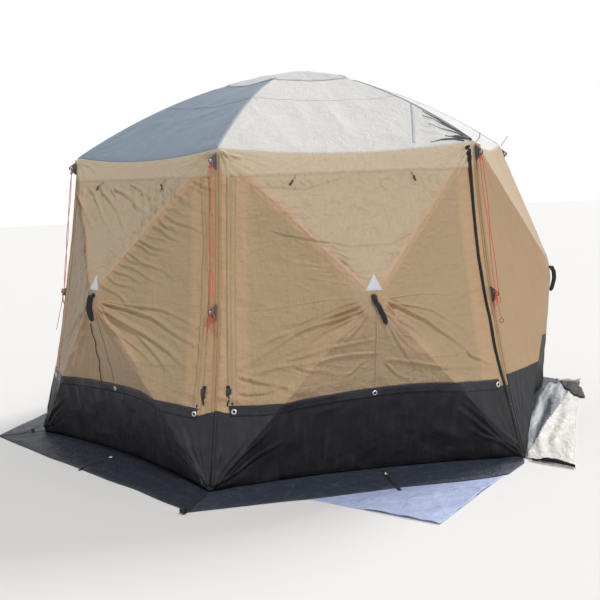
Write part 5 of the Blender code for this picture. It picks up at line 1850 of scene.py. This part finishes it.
class Roof(Cloth):
    """One roof panel, and the trim sewn to it, laid out in (u, out)."""

    facing = ROOF_UP
    look = (0.0, -1.0, 0.0)

    def spot(self, u, out, lift=0.0):
        out = min(out, EAVE_APOTHEM * 0.9985)
        room = out * tan(HALF_TURN) * 0.998
        return np.array(self.surface.at((min(max(u, -room), room), 0.0, out), lift)[0])

    def held(self, obj):
        roof_blend(obj, self.number)
        return dress(obj, "roof_canopy", "roof_cloth")


CROWN_PATCH = 0.465
CROWN_BULGE = 0.022
ROOF_SEAM = 0.866
# Painted shadows of the deep folds at the front right eave corner: dark tapered strips, as paths of (u, out) away
# from the corner with a width
CORNER_FOLD_SHADOWS = [
    (((0.705, 1.222), (0.690, 1.198), (0.630, 1.120), (0.570, 1.030), (0.520, 0.950)), 0.026),
    (((0.700, 1.222), (0.680, 1.190), (0.590, 1.085), (0.504, 0.992)), 0.024),
    (((0.690, 1.205), (0.615, 1.070), (0.540, 0.950), (0.489, 0.862)), 0.012),
    (((0.706, 1.225), (0.640, 1.200), (0.566, 1.180)), 0.034),
    (((0.660, 1.226), (0.585, 1.208), (0.468, 1.210)), 0.020),
    (((0.690, 1.214), (0.600, 1.140), (0.510, 1.075)), 0.010),
]


def roof_trim(roof):
    """A roof panel's sixth of the crown patch, its cross seam and the tape down one ridge."""
    n = roof.number
    strong = 2.0 if n in (1, 2) else 1.0

    def at(s, t):
        radius = CROWN_PATCH * (1 - 0.985 * s)
        u = radius * sin(HALF_TURN) * (2 * t - 1)
        out = radius * APOTHEM_SHARE + CROWN_BULGE * arc_share(t) * (1 - s)
        rim = smooth(s / 0.06) * smooth((0.62 - s) / 0.6)
        one_side = 0.35 + 0.65 * smooth((t - 0.35) / 0.4) if n == 1 else 1.0
        pucker = 0.0022 * strong * one_side * float(noise(t * 19, s * 2.5, 400.0 + n) + 1) * rim
        return roof.spot(u, out, 0.0018 + pucker), (u, out)

    grid, places, faces = gridded(24, 60, at)
    patch = roof.parts(f"crown_patch_{n}", grid, roof.outward(grid, faces), ("crown",), places, 0.0010)

    def line_across(radius, bulge=0.0):
        half = radius * sin(HALF_TURN)
        return [(half * x, radius * APOTHEM_SHARE + bulge * (1 - x * x)) for x in np.linspace(-0.985, 0.985, 16)]

    roof.stitch(line_across(CROWN_PATCH - 0.012, CROWN_BULGE), lift=0.0030)
    roof.band(f"roof_cross_seam_{n}", line_across(ROOF_SEAM), 0.007, ROOF_FINISHES[n], 0.0003, 3)
    ridge = [roof_line(s)[0] for s in np.linspace(0.01, 0.66, 14)]
    ridge = [(r * sin(HALF_TURN) - SEAM_INSET, r * APOTHEM_SHARE) for r in ridge]
    roof.band(f"ridge_tape_{n}", ridge, 0.013, "roof_tape", 0.0008, 3)
    if n == 1:
        thin = lambda share: 0.10 + 0.90 * (1 - share) ** 1.3
        # Dark strips painted as the shadows of the deep folds at the front right eave corner
        for k, (path, width) in enumerate(CORNER_FOLD_SHADOWS):
            route = smooth_line(path, 5)
            roof.band(f"corner_tuck_{n}_{k + 1}", route, width, "fold_shadow", 0.0010, 3, taper=thin)
        # A grey band painted as the shadow of a strap inside, seen through the front panel
        strap = [(0.489, 0.858), (0.440, 1.015), (0.375, 1.204)]
        roof.band(f"roof_strap_{n}", strap, 0.016, "painted_roof_strap_shadow", 0.0003, 3)
    roof.sew(f"roof_{n}_stitching", "roof_thread")


# ---- Trim on the ground


class Laid(Cloth):
    """A mud flap on the ground and what lies on it, in the tent's own axes."""

    facing = np.array([0.0, 0.0, 1.0])
    handed = 1

    def own_axes(self):
        return Matrix.Identity(3)

    def spot(self, x, y, lift=0.0):
        try:
            return np.array(self.surface.at((x, y, 0.0), lift)[0])
        except ValueError:
            return np.array((x, y, 0.0006 + lift))

    def held(self, obj):
        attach(obj, "shell")
        return dress(obj, f"wall_panel_{self.number}", "wall_cloth")


def flap_ring(flap, name, x, y, outer=0.0145):
    ring = set_shape(eyelet_shape(outer, outer * 0.52, 0.0032), flap.spot(x, y, 0.0040), (0.0, 0.0, 1.0))
    flap.parts(name, *ring, ("metal",))


def rolled_strap(flap, name, centre, axis, turns=2.6, outer=0.019, wide=0.026):
    """A strap's end rolled up on itself, lying on the flap with its axis level."""
    axis = Vector((*axis, 0.0)).normalized()
    up = Vector((0.0, 0.0, 1.0))
    side = axis.cross(up)

    def at(share, t):
        angle = share * turns * 2 * pi - 1.2
        spoke = (side * cos(angle) + up * sin(angle)) * (0.004 + (outer - 0.004) * share)
        across = wide * (t - 0.5)
        return tuple(Vector((*centre, outer + 0.0008)) + spoke + axis * across), (share * 0.2, across)

    grid, places, faces = gridded(40, 4, at)
    flap.parts(name, grid, faces, ("webbing",), places, 0.0018)


def curled_edge(flap, name, path, radius, reach, seed, finishes=("flap_black", "silver_flap")):
    """The free edge of a flap curled up and over: its dark underside outside, its top inside."""
    spots, ways = resampled(path, 0.006)
    grid, places = [], []
    for i, (spot, way) in enumerate(zip(spots, ways)):
        share = i / (len(spots) - 1)
        out = np.array([way[1], -way[0]])
        size = radius * (0.75 + 0.35 * float(noise(share * 5.0, 0.3, seed)))
        full = radians(reach * (0.72 + 0.45 * float(noise(share * 6.0, 4.3, seed + 1))))
        base = max(flap.spot(*spot)[2], 0.001)
        for turn in np.linspace(0.0, 1.0, 14):
            angle = -pi / 2 + full * turn
            ripple = 1 + 0.12 * float(noise(share * 16, turn * 2.0, seed + 2))
            ground = spot + out * size * ripple * cos(angle)
            grid.append((*ground, base + size * ripple * (1 + sin(angle)) + 0.0016))
            places.append((share * 0.3, turn * 0.05))
    obj = flap.parts(name, grid, grid_faces(len(spots), 14)[:, ::-1], finishes, places, 0.0014)
    obj.modifiers[0].material_offset = 1


def folded_corner(flap, name, corners, finishes, high=0.010):
    """A flap's end folded over on itself, its underside up."""
    def at(s, t):
        x, y = between(corners, s, t)
        loft = high * (0.35 + 0.65 * float(arc_share(s) * arc_share(t)) ** 0.5)
        return flap.spot(x, y, 0.003 + loft + 0.003 * float(creases(x * 11, y * 9, 77.0))), (x, y)

    grid, places, faces = gridded(16, 16, at)
    flap.parts(name, grid, flap.outward(grid, faces), finishes, places, 0.0014)


def flap_strap(flap, name, path, width, ring=None):
    """A black strap on a flap, with a ring where it leaves the flap's inner edge."""
    flap.band(name, path, width, "webbing", STRAP_THICK, 3)
    if ring:
        flap_ring(flap, f"{name}_ring", *ring)


# What lies on the flaps, by wall: what makes it, its name, its path or corners, and its sizes
INSIDE_OUT = ("silver_flap", "flap_black")
FLAP_TRIM = {
    1: [
        (
            flap_strap, "flap_strap_1", [(0.063, -1.505), (0.054, -1.560), (0.050, -1.660), (0.055, -1.800)],
            0.021, (0.056, -1.556),
        ),
        (
            flap_strap, "corner_strap_1",
            [(-0.905, -1.580), (-0.945, -1.620), (-0.985, -1.700), (-1.012, -1.762)], 0.017,
        ),
        (rolled_strap, "corner_strap_roll_1", (-1.035, -1.782), (0.75, -0.66)),
    ],
    2: [
        (
            curled_edge, "curled_flap_edge_2_1",
            [(0.900, -1.560), (0.930, -1.610), (0.965, -1.650), (1.010, -1.715), (1.046, -1.765)],
            0.013, 215, 81.0,
        ),
        (
            curled_edge, "curled_flap_lip_2",
            [(0.878, -1.556), (0.905, -1.625), (0.945, -1.672), (0.985, -1.715)], 0.011, 95, 86.0, INSIDE_OUT,
        ),
        (
            folded_corner, "folded_flap_corner_2",
            ((1.800, -0.375), (1.862, -0.420), (2.030, -0.050), (1.870, -0.035)), ("flap_black",),
        ),
        (
            curled_edge, "rolled_flap_rim_2",
            [(1.900, 0.050), (1.960, 0.052), (2.010, 0.030), (2.052, -0.018)], 0.020, 300, 91.0, INSIDE_OUT,
        ),
    ],
    6: [
        (
            flap_strap, "flap_strap_6",
            [(-1.325, -0.735), (-1.400, -0.800), (-1.470, -0.850), (-1.535, -0.912)], 0.015, (-1.352, -0.762),
        ),
        (flap_ring, "corner_grommet_6", -1.800, 0.045, 0.0135),
        (
            flap_strap, "corner_cord_6",
            [(-1.835, 0.020), (-1.900, -0.020), (-1.970, -0.030), (-2.036, -0.028)], 0.008,
        ),
        (rolled_strap, "corner_cord_roll_6", (-1.828, 0.020), (0.4, -0.9), 1.6, 0.013, 0.022),
    ],
}


def flap_trim(flap):
    """What lies on one flap: its straps with their rings, and the turned edges of the right one."""
    for make, *details in FLAP_TRIM.get(flap.number, ()):
        make(flap, *details)


# ---- The ropes' knots and the corners' loose tags


# Which of a route's points are its knots, and where each rope's second tail ends: aside and up
LOW_TAB = 18
HIGH_TAB = 14
SECOND_TAILS = {1: (0.036, -0.145), 2: (-0.020, -0.085), 6: (-0.016, -0.115)}
BOW_LOOPS = ((0.032, 0.075), (-0.026, 0.092))


def rope_part(number, part, path):
    """A short length of a guy rope, named for what it is, that goes with the rope."""
    name = f"guy_rope_{number}_{part}"
    return fixed(name, *tube(path, ROPE_RADIUS, 7), "cord", f"guy_rope_{number}", "guy_cord")


def knot(number, part, centre, size):
    """An overhand knot of the rope, drawn tight."""
    path = []
    for angle in np.linspace(0.0, 2 * pi * 0.97, 44):
        x, y = sin(angle) + 2 * sin(2 * angle), cos(angle) - 2 * cos(2 * angle)
        path.append(Vector((x, -sin(3 * angle) * 1.3, y)) * size + centre)
    return rope_part(number, part, path)


def rope_pieces(number):
    """A rope's knots at its two tabs, its other tail, its bow, and on the right rope the ring at its end."""
    route = [Vector(p) for p in ROPE_ROUTES[number]]
    low, high = route[LOW_TAB], route[HIGH_TAB]
    up = Vector((0, 0, 1))
    out = Vector((low.x, low.y, 0.0)).normalized()
    across = Vector((-out.y, out.x, 0.0))
    made = [knot(number, "low_knot", low - up * 0.010, 0.0034), knot(number, "high_knot", high, 0.0028)]
    aside, rise = SECOND_TAILS[number]
    steps = ((0.0, 0.0, 0.0), (0.012, 0.2, 0.2), (0.012, 0.7, 0.6), (0.005, 1.0, 1.0))
    tail = [low + out * off + across * aside * a + up * rise * b for off, a, b in steps]
    made.append(rope_part(number, "second_tail", smooth_route(tail, 6)))
    for k, (aside, drop) in enumerate(BOW_LOOPS):
        steps = ((0.0, 0.0), (0.8, 0.45 * drop), (1.0, drop), (0.3, 0.8 * drop), (0.0, 0.008))
        loop = [low + across * aside * a - up * fall + out * (0.010 + 0.004 * k) for a, fall in steps]
        made.append(rope_part(number, f"bow_{k + 1}", smooth_route(loop, 6)))
    if number == 2:
        ring = set_shape(eyelet_shape(0.0128, 0.0098, 0.0034), route[-1] - up * 0.010, (-0.2, -1.0, 0.1))
        made.append(fixed("guy_rope_2_end_ring", *ring, "toggle", "guy_rope_2", "guy_cord"))
    return made


def loose_tag(number, path):
    """The turned-up end of a seam's tape at an eave corner."""
    end = tube(smooth_route(path, 5), 0.0022, 6)
    fixed(f"loose_tag_{number}", *end, "tan_webbing", f"wall_panel_{number}", "wall_cloth")


# ---- The tent


studio()
for number in ROPE_ROUTES:
    guy_rope(number)
finish_nodes()
frame_poles()
for number in WALLS:
    wall_hub(number)
    wall = Wall(number, wall_cloth(number))
    corner_seam(wall)
    reflective_triangle(wall)
    pull_strap(wall)
    if number in PANEL_WALLS:
        wall_trim(wall)
    if number == 1:
        door_zip(wall)
        buckle(wall, "hem_buckle_1", -0.742, 0.490, (-0.012, 0.062))
    if number == 6:
        strap_cord(wall)
        buckle(wall, "hem_buckle_6", 0.758, 0.485, (0.008, 0.056))
    foot_patches(wall)
    wall.sew(f"wall_{number}_stitching")
    guy_tabs(number)
    roof_trim(Roof(number, [roof_panel(number)]))
    flap_trim(Laid(number, [mud_flap(number)]))
ground_sheet()
loose_tag(1, [(0.724, -1.245, 1.742), (0.735, -1.262, 1.765), (0.737, -1.262, 1.790)])
loose_tag(2, [(1.430, -0.030, 1.742), (1.452, -0.040, 1.775), (1.470, -0.050, 1.805)])
